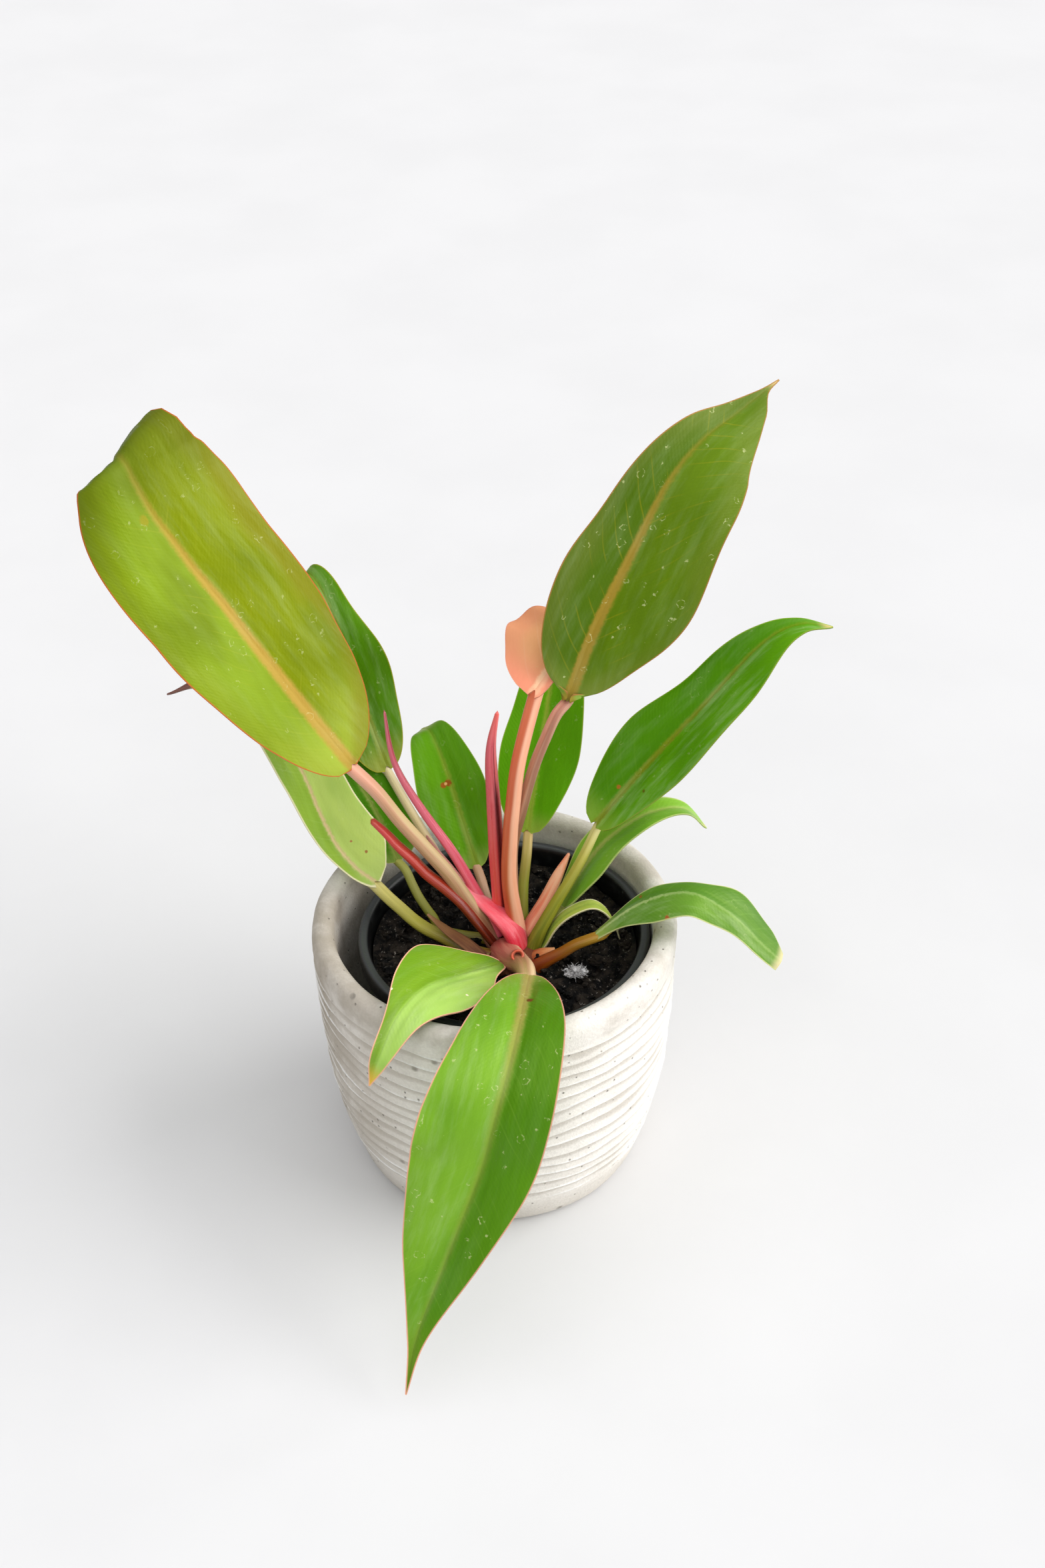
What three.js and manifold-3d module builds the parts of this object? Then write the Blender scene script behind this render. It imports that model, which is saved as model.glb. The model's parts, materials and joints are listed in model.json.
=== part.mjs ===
// Potted prince of orange philodendron: a leafy plant in a nursery pot, standing in a ribbed cement pot.
// Millimetres, +Z up. The origin is the centre of the cement pot's base, on the ground.
// Azimuth 0 points along +X, to the right, and 90 along +Y, away from the front.
import * as THREE from 'three';
import { mergeVertices } from 'three/addons/utils/BufferGeometryUtils.js';
import Module from 'manifold-3d';

const wasm = await Module();
wasm.setup();

// Driving dimensions, cement pot
const POT_FLOOR = 10;
const POT_SIDES = 32;
const RIB_PITCH = 6.4;
const RIB_DEPTH = 1.6;
const RIB_FIRST = 17;
const RIB_LAST = 107;
const RIB_WANDER = 1.1;
// The cement pot's outside and inside, foot to rim: [height, radius]
const POT_OUTSIDE = [[0, 57.5], [3, 60.5], [12, 63.5], [25, 67.5], [40, 70.5], [60, 72.8], [85, 74.2],
  [112, 75]];
const POT_INSIDE = [[10, 50], [25, 56], [60, 62], [114, 65.5]];
// The rim's rounded section, outside to inside: [radius, height]
const POT_LIP = [[75, 111], [75.2, 115], [74.4, 118.3], [72.4, 119.8], [70.2, 120], [67.8, 119.4],
  [66, 117.6], [65.5, 114]];
const POT_FOOT_HEIGHTS = [0, 1.2, 3.5, 12];
const POT_INSIDE_HEIGHTS = [60, 25, 12];
const POT_FLOOR_RADIUS = 48;
// The ribs' wander: slow and quick waves round the pot, and how far their phase moves with height
const SLOW_WAVES = 3;
const QUICK_WAVES = 7;
const QUICK_WAVE_SHARE = 0.6;
const WAVE_DRIFT = 0.1;
const OUTLINE_WAVES = 5;
const OUTLINE_WAVE_SHARE = 0.25;

// Driving dimensions, nursery pot, soil and crown
const SEAT_GAP = 0.3;
const LINER_AXIS = [4, 0];
const LINER_RIM_HEIGHT = 111;
const LINER_RIM_RADIUS = 60;
const LINER_LIP = 4;
const LINER_TOP_RADIUS = 57;
const LINER_BASE_RADIUS = 43;
const LINER_WALL = 1.4;
const LINER_BAND = 9;
const LINER_STEP = 0.6;
const LINER_EDGE = 1;
const LINER_CORNER = 2;
const LINER_DRAIN_RADIUS = 7;
const LINER_SIDES = 32;
const SOIL_HEIGHT = 102;
const SOIL_RINGS = [50, 43, 34, 23];
const SOIL_SHOULDER = 4;
const SOIL_BUMP = 1.6;
// The soil's swells, in radians a millimetre, and the share of the finer one
const SOIL_SWELL = 0.2;
const SOIL_RIPPLE = 0.43;
const SOIL_RIPPLE_SHARE = 0.5;
// Bark chips: their count and the least and greatest half length, half width and half height
const CHIP_COUNT = 14;
const CHIP_SEED = 20117;
const CHIP_REACH = [17, 49];
const CHIP_LENGTH = [3.5, 6.5];
const CHIP_WIDTH = [2.2, 3.7];
const CHIP_HEIGHT = [1.6, 2.6];
const CHIP_TILT = 0.5;
const CHIP_LIFT = 0.3;
const CROWN_AXIS = [8, -6];
const LEAF_ROOT = [8, -1];
const CROWN_TOP = 105;
const CROWN_DEPTH = 34;
const CROWN_RADIUS = 13;
const CROWN_SIDES = 20;
const CROWN_FOOT_INSET = 5;
// The crown's section above its foot: [inset from its radius, depth below its top]
const CROWN_SECTION = [[1.5, 20], [0, 6], [2, 1.5], [6, 0]];
const CROWN_DOME = 0.6;
const TUFT_CENTRE = [33, -20];
const TUFT_HALF_SIZE = [5, 4.4, 3];
const TUFT_LIFT = 2.4;
const TUFT_SWELL = 0.11;
const BLADE_ROUGHNESS = 0.45;
const STALK_ROUGHNESS = 0.5;

// Blades and stalks
const BLADE_THICKNESS = 0.8;
const BLADE_ROWS = 13;
const BLADE_COLUMNS = 6;
const BLADE_ROW_CROWDING = 1.25;
const BLADE_BASE_HALF = 1.6;
const BLADE_TIP_HALF = 0.7;
const LOBE_SHARE = 0.22;
const LOBE_POWER = 1.5;
const WAVES_PER_BLADE = 2.4;
const WAVE_PHASE = [0.6, 0.15];
const STALK_TAPER = 0.6;
const STALK_FLARE = 1.2;
const STALK_FLARE_FADE = 9;
const STALK_FLATNESS = 0.92;
const STALK_SIDES = 7;
const STALK_STEPS = 7;
const SPEAR_STEPS = 7;
const EDGE_DROOP = 10;
const JOINT_GAP = 0.35;
const WIDTH_STATIONS = [0, 0.1, 0.3, 0.5, 0.7, 0.9, 1];

// Each leaf: points are [out from the crown, height, sideways] along its azimuth, in the order of growth.
// half holds the half widths, left then right, at a tenth, three, five, seven and nine tenths of the blade.
// fold lifts each half out of flat and roll turns the whole blade about its midrib, in degrees.
// tipRoll and tipFlatten turn and flatten a tip that curls over, between the two shares in curl.
const LEAVES = [
  {
    name: 'upper_left', azimuth: 168, colour: 0x8fae2a, stalkColour: 0xc98a5c, stalkRadius: [3.2, 3],
    stalk: [[7, 101], [9, 105], [13, 114], [20, 126], [27, 138], [36, 150], [46, 163], [55, 177], [64, 188]],
    midrib: [[64, 188], [77, 207], [89, 225], [100, 242], [110, 258], [119, 271], [127, 284], [134, 296],
      [139, 307, 0.5], [142, 314, 1.5], [145.5, 316, 4], [149, 312, 7.5], [153, 295, 15]],
    half: [[19, 31, 33, 33, 18], [24, 35, 34.5, 37.5, 16]], fold: [18, 14], roll: 32,
    curl: [0.8, 0.97], tipRoll: -14, tipFlatten: 0.3, lobe: 1.5, wave: 1.6, rows: 17, crowding: 1,
  },
  {
    name: 'upper_right', azimuth: 42, colour: 0x4e7d12, stalkColour: 0xa5745a, stalkRadius: [2.6, 2.3],
    stalk: [[4, 102, -5.5], [5, 110, -6], [6, 130, -7], [7, 149, -7], [10, 165, -5.5], [15, 187, -4],
      [20, 200, -2], [25, 207, -1], [31, 211]],
    midrib: [[31, 211], [46, 238], [66, 264], [84, 286], [102, 298], [122, 303], [147, 309]],
    half: [[17.5, 22.5, 19, 11.5, 3.5], [18.5, 31.5, 31, 25.5, 7.5]], fold: [32, 10], roll: -32, lobe: -4,
    wave: 1.2,
  },
  {
    name: 'peach', azimuth: 50, root: [5, 6], colour: 0xf0b090, stalkColour: 0xd9744a, stalkRadius: [3.4, 3],
    stalk: [[-2, 102, 7], [-1, 107, 6.5], [-1, 113, 6], [-1, 135, 3], [1, 157, 2.5], [3, 170, 2.5],
      [8, 190, 2], [20, 216, 1]],
    midrib: [[20, 216, 1], [34, 223, 0.5], [48, 229], [61, 235], [75, 240], [88, 243]],
    half: [[19, 26, 19, 10, 3], [5, 10, 10, 7, 3]], fold: [22, 22], roll: -12, lobe: 3, wave: 1.4,
  },
  {
    name: 'right_middle', azimuth: 20, colour: 0x3f8a12, stalkColour: 0x9a9a3a, stalkRadius: [3.1, 2.4],
    stalk: [[6, 102, 4], [10, 111, 4], [17, 122, 3], [24, 132, 2], [30, 142, 1.5], [37, 157]],
    midrib: [[37, 157], [58, 179], [82, 202], [106, 225], [122, 231], [138, 226]],
    half: [[13, 17.5, 13.5, 9, 2.5], [13, 19, 19, 15, 5]], fold: [35, 28], roll: -20, lobe: 2, wave: 1,
  },
  {
    name: 'right_lower', azimuth: 14, root: [7, 4], colour: 0x6fa83a, stalkColour: 0x9aa24a,
    stalkRadius: [2.3, 2], stalk: [[10, 101, 6.5], [14, 107, 5.5], [17, 111, 3.5], [22, 118]],
    midrib: [[22, 118], [33, 136], [44, 148], [59, 156], [74, 155], [84, 143]],
    half: [[6, 9, 9, 6, 3], [9, 12.5, 10.5, 5.5, 3]], fold: [20, 20], roll: -8, lobe: 2, wave: 0.8,
  },
  {
    name: 'right_low', azimuth: -5, root: [12, -10], colour: 0x5c9a30, stalkColour: 0x84783a,
    stalkRadius: [3, 2.3], stalk: [[4, 101, 3], [10, 106, 3], [16, 110, 2.5], [22, 114, 1.5], [30, 119]],
    midrib: [[30, 119], [42, 131], [52, 138], [62, 141.5], [70, 141], [78, 136], [87, 128], [96, 117],
      [105, 107]],
    half: [[4, 6.5, 8, 14, 12], [5, 10, 10, 5, 4]], fold: [0, -10], roll: -6, twist: -20, lobe: 2,
    wave: 0.8,
  },
  {
    name: 'left_back', azimuth: 134, colour: 0x3f8a12, stalkColour: 0xd8c39a, stalkRadius: [2.3, 1.9],
    stalk: [[7, 101], [20, 106], [36, 115], [44, 124], [53, 133], [65, 145], [75, 157]],
    midrib: [[75, 157], [85, 178], [93, 199], [102, 218], [111, 231], [118, 233], [123, 225]],
    half: [[12, 18, 18, 14, 8], [11, 15, 14, 9, 5]], fold: [22, 22], roll: 12, lobe: 2, wave: 1,
  },
  {
    name: 'left', azimuth: 152, root: [1, -10], colour: 0x8cb84a, stalkColour: 0xa8a040,
    stalkRadius: [2.7, 2.4],
    stalk: [[2, 103], [14, 103.5], [25, 106], [33, 107.5], [39, 110], [45, 114], [51, 118], [57, 124]],
    midrib: [[57, 124], [64, 127], [70, 132], [75, 138], [79, 146], [83, 156], [88, 170], [96, 184],
      [110, 197], [131, 202], [152, 190]],
    half: [[5, 9, 10, 6, 3], [19, 17, 12, 8, 3]], fold: [16, 16], roll: 24, lobe: 2, wave: 0.6,
  },
  {
    name: 'left_inner', azimuth: 142, colour: 0x3f8a12, stalkColour: 0x8a8a3a, stalkRadius: [2.3, 1.9],
    stalk: [[6, 102], [28, 103.5, -10], [37, 106, -8], [45, 110, -6], [50, 114, -4.5], [55, 119, -3],
      [60, 122, -2.5]],
    midrib: [[60, 122, -2.5], [69, 134], [76, 145], [83, 154], [90, 166], [100, 176]],
    half: [[9, 12, 12, 9, 4], [12, 12, 11, 8, 4]], fold: [16, 16], roll: 20, lobe: 1, wave: 0.6,
  },
  {
    name: 'centre_back', azimuth: 116, colour: 0x3f8a12, stalkColour: 0x8a6a3a, stalkRadius: [2.3, 1.9],
    stalk: [[8, 102, -3], [21, 116, -2.5], [27, 119.5, -1.5], [35, 121]],
    midrib: [[35, 121], [47, 135], [58, 149], [68, 158], [77, 163], [85, 160]],
    half: [[8, 13, 15, 13, 8], [8, 13, 14, 12, 7]], fold: [18, 18], roll: 14, lobe: 1.5, wave: 0.8,
  },
  {
    name: 'back', azimuth: 75, colour: 0x478f16, stalkColour: 0x8f8a3a, stalkRadius: [2.4, 2],
    stalk: [[7, 102, 2], [11, 110, 1], [17, 122], [23, 133], [31, 140, -1.5]],
    midrib: [[31, 140, -1.5], [44, 158, -1], [57, 177], [71, 193], [86, 207], [100, 214]],
    half: [[13, 16.5, 14, 10, 4], [11, 17, 16, 12, 5]], fold: [16, 16], roll: 0, lobe: 1.5, wave: 0.8,
  },
  {
    name: 'front', azimuth: -100, root: [16, -6], colour: 0x5fa524, stalkColour: 0x9a6a50,
    stalkRadius: [4.2, 2.8], stalk: [[2, 103, 11], [5, 105, 10], [11, 107, 5], [18, 110, 0.5], [24, 112, -2]],
    midrib: [[24, 112, -2], [50, 124, -4.5], [72, 127, -5.5], [92, 120, -4], [103, 107, -1], [109, 93, 2],
      [115, 82, 5.5], [129, 55, 15], [144, 30, 23.5], [156, 11, 26]],
    half: [[12, 20, 21, 13.5, 3.5], [11, 22.5, 28.5, 19.5, 3]], fold: [20, 20], roll: 4, lobe: 2, wave: 1.2,
  },
  {
    name: 'front_left', azimuth: -130, root: [4, -8], colour: 0x74b838, stalkColour: 0xa8a058,
    stalkRadius: [2.4, 2], stalk: [[0, 105, -3], [8, 107, -4]],
    midrib: [[8, 107, -4], [27, 115, -3], [49, 123, -2], [69, 125, -5], [83, 115, -7], [89, 102, -6]],
    half: [[7, 19, 19, 11, 4], [9, 20, 13, 5, 3]], fold: [22, 14], roll: 14, lobe: 2, wave: 0.8,
  },
];

// The small pale strap leaf has no stalk of its own
const STRAP = {
  name: 'strap_leaf', azimuth: 8, root: [14, -6], colour: 0x9fc46a,
  midrib: [[5, 103, -2], [7, 106, -2.5], [11, 114, -2.5], [17, 120, -2.5], [26, 123.5, -2.5], [32, 120, -2.5],
    [36, 112, -2], [38, 104, -2]],
  half: [[3, 3.5, 3.5, 3, 2], [3, 3, 3, 3, 2]], fold: [15, 15], roll: 0, lobe: 0, wave: 0,
};

// The broad basal sheath wraps the stalks' feet, so it is placed before them
const BASAL_SHEATH = {
  name: 'crimson_sheath', azimuth: 158, root: [10, -6], colour: 0xe0405a,
  path: [[0, 104, 2], [4, 113, 3], [11, 119, 3.5], [18, 123, 4], [24, 127, 3.5]],
  wide: [5, 5.2, 4.8, 3.6, 0.8], thick: [1.9, 1.9, 1.7, 1.3, 0.5],
};

// Rolled leaves and sheaths: path points as for the leaves, half width across and half thickness along them
const SPEARS = [
  {
    name: 'crimson_spear', azimuth: 150, root: [8, -3], colour: 0xc8324b,
    path: [[6, 106, 1], [12, 116, 1], [19, 127, 1.5], [28, 144], [39, 160, -1.5], [49, 175, -2],
      [54, 187, -1.5], [57, 205]],
    wide: [2.5, 2.5, 2.3, 1.9, 1.4, 0.5], thick: [1.8, 1.8, 1.7, 1.5, 1.1, 0.4],
  },
  {
    name: 'maroon_spear', azimuth: 105, root: [7, 2], colour: 0xa8323c,
    path: [[3, 104, -3.5], [4, 118, -3.5], [6, 133, -3.5], [8, 150, -3.5], [10, 168, -3.5], [12, 185, -3.5],
      [13.5, 197, -2.5], [14.5, 210, 0.5]],
    wide: [3.4, 3.2, 3.2, 2.9, 2.3, 0.8], thick: [2.2, 2.2, 2.1, 1.9, 1.5, 0.6],
  },
  {
    name: 'red_spear', azimuth: 166, root: [4, -4], colour: 0xc43a30,
    path: [[3, 103, 1], [11, 116], [18, 126], [25, 133], [32, 139], [37, 145], [43, 151], [48, 157],
      [54, 163]],
    wide: [2.4, 2.5, 2.6, 2.5, 2.2, 0.9], thick: [1.8, 1.8, 1.8, 1.8, 1.5, 0.6],
  },
  {
    name: 'pink_sheath', azimuth: 144, root: [6, 0], colour: 0xd08a80,
    path: [[3, 103], [9, 109, -1], [14, 114, -1.5], [21, 125, -2], [26, 132, -3], [31, 140, -5],
      [36, 149, -6.5]],
    wide: [2, 2.1, 2.2, 2.2, 1.8, 0.5], thick: [1, 1, 1, 1, 0.9, 0.4],
  },
  {
    name: 'salmon_sheath', azimuth: 40, root: [10, 0], colour: 0xd8735a,
    path: [[3, 103], [6, 109], [14, 119, 1], [21, 131, 2], [26, 139, 2.5]],
    wide: [3, 3, 2.8, 2.2, 0.5], thick: [1.4, 1.4, 1.3, 1.1, 0.4],
  },
  {
    name: 'dry_sheath_left', azimuth: 150, root: [1, -8], colour: 0x7a4426,
    path: [[3, 106, -6], [11, 110, -5.5], [21, 112, -4], [32, 115, -2]],
    wide: [3.6, 3.2, 2.2, 0.5], thick: [0.9, 0.9, 0.8, 0.4],
  },
  {
    name: 'dry_sheath_right', azimuth: -8, root: [12, -7], colour: 0xa8623a,
    path: [[1, 102, 1], [7, 107, 1], [14, 111, 1]],
    wide: [3.2, 2.6, 0.6], thick: [0.9, 0.9, 0.4],
  },
];

function curveOf(piece, points) {
  const angle = THREE.MathUtils.degToRad(piece.azimuth);
  const [rootX, rootY] = piece.root ?? LEAF_ROOT;
  const out = new THREE.Vector3(Math.cos(angle), Math.sin(angle), 0);
  const side = new THREE.Vector3(Math.sin(angle), -Math.cos(angle), 0);
  const placed = points.map(([reach, height, aside = 0]) => new THREE.Vector3(rootX, rootY, height)
    .addScaledVector(out, reach).addScaledVector(side, aside));
  return { curve: new THREE.CatmullRomCurve3(placed, false, 'catmullrom', 0.5), side };
}

// Unit vectors at a share of a curve's length: along it, across it to the right, and up out of the surface
function frameAt({ curve, side }, share) {
  const along = curve.getTangentAt(share);
  const across = side.clone().addScaledVector(along, -side.dot(along)).normalize();
  return { at: curve.getPointAt(share), along, across, up: across.clone().cross(along).normalize() };
}

// Smooth value through evenly or unevenly spaced stations
function through(stations, values, share) {
  let last = stations.length - 2;
  while (last > 0 && stations[last] > share) last -= 1;
  const span = stations[last + 1] - stations[last];
  const t = (share - stations[last]) / span;
  const slope = (i) => {
    const [low, high] = [Math.max(i - 1, 0), Math.min(i + 1, stations.length - 1)];
    return (values[high] - values[low]) / (stations[high] - stations[low]);
  };
  const [a, b] = [slope(last) * span, slope(last + 1) * span];
  const [from, to] = [values[last], values[last + 1]];
  return from + a * t + (3 * (to - from) - 2 * a - b) * t ** 2 + (2 * (from - to) + a + b) * t ** 3;
}

function evenShares(count) {
  return Array.from({ length: count }, (_, i) => i / (count - 1));
}

function geometryOf(points, triangles) {
  const geometry = new THREE.BufferGeometry();
  geometry.setAttribute('position', new THREE.Float32BufferAttribute(points.flatMap((p) => p.toArray()), 3));
  geometry.setIndex(triangles);
  return geometry;
}

// Closed body through rings of points that run counterclockwise seen from the last ring
function loft(rings) {
  const sides = rings[0].length;
  const points = rings.flat();
  const triangles = [];
  for (let r = 0; r + 1 < rings.length; r += 1) {
    for (let s = 0; s < sides; s += 1) {
      const [a, b] = [r * sides + s, r * sides + ((s + 1) % sides)];
      triangles.push(a, b, b + sides, a, b + sides, a + sides);
    }
  }
  for (const [ring, start] of [[rings[0], 0], [rings.at(-1), (rings.length - 1) * sides]]) {
    const hub = points.length;
    points.push(ring.reduce((sum, p) => sum.add(p), new THREE.Vector3()).divideScalar(sides));
    for (let s = 0; s < sides; s += 1) {
      const [a, b] = [start + s, start + ((s + 1) % sides)];
      triangles.push(...(start === 0 ? [hub, b, a] : [hub, a, b]));
    }
  }
  return geometryOf(points, triangles);
}

// Thin sheet over a grid of points, split into triangles alike on both faces
function sheet(grid, thickness) {
  const [rows, columns] = [grid.length, grid[0].length];
  const normalAt = (r, c) => {
    const down = grid[Math.min(r + 1, rows - 1)][c].clone().sub(grid[Math.max(r - 1, 0)][c]);
    const right = grid[r][Math.min(c + 1, columns - 1)].clone().sub(grid[r][Math.max(c - 1, 0)]);
    return right.cross(down).normalize();
  };
  const points = [1, -1].flatMap((face) => grid.flatMap((row, r) => row.map((p, c) => (
    p.clone().addScaledVector(normalAt(r, c), face * thickness / 2)))));
  const at = (r, c) => r * columns + c;
  const under = rows * columns;
  const triangles = [];
  for (let r = 0; r + 1 < rows; r += 1) {
    for (let c = 0; c + 1 < columns; c += 1) {
      const [a, b, d, e] = [at(r, c), at(r, c + 1), at(r + 1, c + 1), at(r + 1, c)];
      triangles.push(a, b, d, a, d, e, under + a, under + d, under + b, under + a, under + e, under + d);
    }
  }
  const rim = [];
  for (let c = 0; c < columns; c += 1) rim.push(at(0, c));
  for (let r = 1; r < rows; r += 1) rim.push(at(r, columns - 1));
  for (let c = columns - 2; c >= 0; c -= 1) rim.push(at(rows - 1, c));
  for (let r = rows - 2; r > 0; r -= 1) rim.push(at(r, 0));
  rim.forEach((a, i) => {
    const b = rim[(i + 1) % rim.length];
    triangles.push(a, under + a, under + b, a, under + b, b);
  });
  return geometryOf(points, triangles);
}

// Point of a blade at a share of its length and across from -1, the left edge, to 1, the right edge
function bladePoint(leaf, path, share, across) {
  const frame = frameAt(path, share);
  const right = across > 0 ? 1 : 0;
  const halves = [BLADE_BASE_HALF, ...leaf.half[right], BLADE_TIP_HALF];
  const width = through(WIDTH_STATIONS.map(Math.sqrt), halves, Math.sqrt(share));
  const curled = leaf.curl ? THREE.MathUtils.smoothstep(share, ...leaf.curl) : 0;
  const roll = leaf.roll + (leaf.twist ?? 0) * share + ((leaf.tipRoll ?? 0) - leaf.roll) * curled;
  const fold = leaf.fold[right] * (1 - (leaf.tipFlatten ?? 0) * curled);
  const lift = fold + (right ? roll : -roll) - EDGE_DROOP * Math.abs(across);
  const angle = THREE.MathUtils.degToRad(lift);
  const wavePhase = 2 * Math.PI * (WAVES_PER_BLADE * share + WAVE_PHASE[right]);
  const ripple = Math.sin(wavePhase) * Math.sin(Math.PI * share);
  const swept = leaf.lobe * (Math.max(0, 1 - share / LOBE_SHARE) * Math.abs(across)) ** LOBE_POWER;
  return frame.at
    .addScaledVector(frame.across, width * across * Math.cos(angle))
    .addScaledVector(frame.up, width * Math.abs(across) * Math.sin(angle) + leaf.wave * ripple * across ** 2)
    .addScaledVector(frame.along, -swept);
}

function blade(leaf, grow) {
  const path = curveOf(leaf, leaf.midrib);
  const crowding = leaf.crowding ?? BLADE_ROW_CROWDING;
  const rows = evenShares(leaf.rows ?? BLADE_ROWS).map((share) => share ** crowding);
  const grid = rows.map((share) => evenShares(BLADE_COLUMNS + 1)
    .map((c) => bladePoint(leaf, path, share, 2 * c - 1)));
  return sheet(grid, BLADE_THICKNESS + 2 * grow);
}

// Ring of an elliptical section, half width across and half thickness up
function ellipse(frame, wide, thick, sides) {
  return Array.from({ length: sides }, (_, i) => {
    const turn = (2 * Math.PI * i) / sides;
    return frame.at.clone()
      .addScaledVector(frame.across, wide * Math.cos(turn))
      .addScaledVector(frame.up, -thick * Math.sin(turn));
  });
}

function stalk(leaf, grow) {
  const path = curveOf(leaf, leaf.stalk);
  const [low, high] = leaf.stalkRadius;
  const end = 1 - JOINT_GAP / path.curve.getLength();
  const rings = evenShares(STALK_STEPS + 1).map((share) => {
    const flare = STALK_FLARE * Math.exp(-STALK_FLARE_FADE * share);
    const radius = low + (high - low) * share ** STALK_TAPER + flare + grow;
    return ellipse(frameAt(path, share * end), radius, radius * STALK_FLATNESS, STALK_SIDES);
  });
  return loft(rings);
}

function spear(piece, grow) {
  const path = curveOf(piece, piece.path);
  const stations = evenShares(piece.wide.length);
  const rings = evenShares(SPEAR_STEPS + 1).map((share) => ellipse(
    frameAt(path, share),
    through(stations, piece.wide, share) + grow,
    through(stations, piece.thick, share) + grow,
    STALK_SIDES,
  ));
  return loft(rings);
}

// Closed profile turned about a vertical axis; profile points are [radius, height], outside going up
function turned(profile, sides, [x, y] = [0, 0]) {
  const points = profile.map(([radius, height]) => new THREE.Vector2(radius, height));
  const geometry = new THREE.LatheGeometry(points, sides);
  geometry.rotateX(Math.PI / 2);
  geometry.translate(x, y, 0);
  return geometry;
}

function heightRadius(profile, height) {
  return through(profile.map(([z]) => z), profile.map(([, radius]) => radius), height);
}

// The cement pot: a plain foot, hand-made ribs whose crests and grooves wander, and a plain rim band
function cementPot() {
  const ribs = Math.round((RIB_LAST - RIB_FIRST) / (RIB_PITCH / 2));
  const outside = POT_FOOT_HEIGHTS.map((height) => [heightRadius(POT_OUTSIDE, height), height]);
  for (let i = 0; i <= ribs; i += 1) {
    const height = RIB_FIRST + (i * RIB_PITCH) / 2;
    const depth = i % 2 ? 0 : -RIB_DEPTH;
    outside.push([heightRadius(POT_OUTSIDE, height) + depth, height, RIB_WANDER]);
  }
  const inside = POT_INSIDE_HEIGHTS.map((height) => [heightRadius(POT_INSIDE, height), height]);
  const profile = [...outside, ...POT_LIP, ...inside, [POT_FLOOR_RADIUS, POT_FLOOR]];
  const rings = profile.map(([radius, height, wander = 0]) => Array.from({ length: POT_SIDES }, (_, i) => {
    const turn = (2 * Math.PI * i) / POT_SIDES;
    const slow = Math.sin(SLOW_WAVES * turn + WAVE_DRIFT * height);
    const quick = Math.sin(QUICK_WAVES * turn - WAVE_DRIFT * height);
    const drift = wander * (slow + QUICK_WAVE_SHARE * quick);
    const reach = radius + wander * OUTLINE_WAVE_SHARE * Math.sin(OUTLINE_WAVES * turn + height);
    return new THREE.Vector3(reach * Math.cos(turn), reach * Math.sin(turn), height + drift);
  }));
  return loft(rings);
}

function nurseryPot() {
  const base = POT_FLOOR + SEAT_GAP;
  const bandFoot = LINER_RIM_HEIGHT - LINER_BAND;
  const inner = LINER_TOP_RADIUS - LINER_WALL;
  const profile = [
    [LINER_DRAIN_RADIUS, base], [LINER_BASE_RADIUS - LINER_CORNER, base],
    [LINER_BASE_RADIUS, base + LINER_CORNER], [LINER_TOP_RADIUS, bandFoot],
    [LINER_RIM_RADIUS - LINER_STEP, bandFoot + LINER_STEP],
    [LINER_RIM_RADIUS, LINER_RIM_HEIGHT - LINER_EDGE], [LINER_RIM_RADIUS - LINER_EDGE, LINER_RIM_HEIGHT],
    [LINER_RIM_RADIUS - LINER_LIP, LINER_RIM_HEIGHT], [inner, LINER_RIM_HEIGHT - 2 * LINER_EDGE],
    [inner, bandFoot], [LINER_BASE_RADIUS - LINER_WALL, base + LINER_WALL + LINER_CORNER / 2],
    [LINER_BASE_RADIUS - LINER_WALL - LINER_CORNER, base + LINER_WALL],
    [LINER_DRAIN_RADIUS, base + LINER_WALL], [LINER_DRAIN_RADIUS, base],
  ];
  return turned(profile, LINER_SIDES, LINER_AXIS);
}

// Repeatable draws between 0 and 1
function drawer(seed) {
  let state = seed;
  return () => {
    state = (state * 16807) % 2147483647;
    return state / 2147483647;
  };
}

function soilHeightAt(x, y) {
  const swell = Math.cos(SOIL_SWELL * x) * Math.cos(SOIL_SWELL * y);
  return SOIL_BUMP * (swell + SOIL_RIPPLE_SHARE * Math.sin(SOIL_RIPPLE * (x - y)));
}

function soilBed() {
  const base = POT_FLOOR + SEAT_GAP + LINER_WALL + SEAT_GAP;
  const wall = LINER_WALL + SEAT_GAP;
  const slope = (LINER_TOP_RADIUS - LINER_BASE_RADIUS) / (LINER_RIM_HEIGHT - LINER_BAND - base);
  const reachAt = (height) => LINER_BASE_RADIUS - wall + slope * (height - base);
  const heights = [base + SOIL_SHOULDER, SOIL_HEIGHT - SOIL_SHOULDER, SOIL_HEIGHT - 1];
  const profile = [[0, base], [LINER_BASE_RADIUS - wall - SOIL_SHOULDER, base],
    ...heights.map((height) => [reachAt(height), height]),
    ...SOIL_RINGS.map((radius) => [radius, SOIL_HEIGHT]), [0, SOIL_HEIGHT]];
  const geometry = turned(profile, LINER_SIDES, LINER_AXIS);
  const position = geometry.getAttribute('position');
  for (let i = 0; i < position.count; i += 1) {
    if (position.getZ(i) >= SOIL_HEIGHT) {
      position.setZ(i, SOIL_HEIGHT + soilHeightAt(position.getX(i), position.getY(i)));
    }
  }
  return geometry;
}

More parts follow.
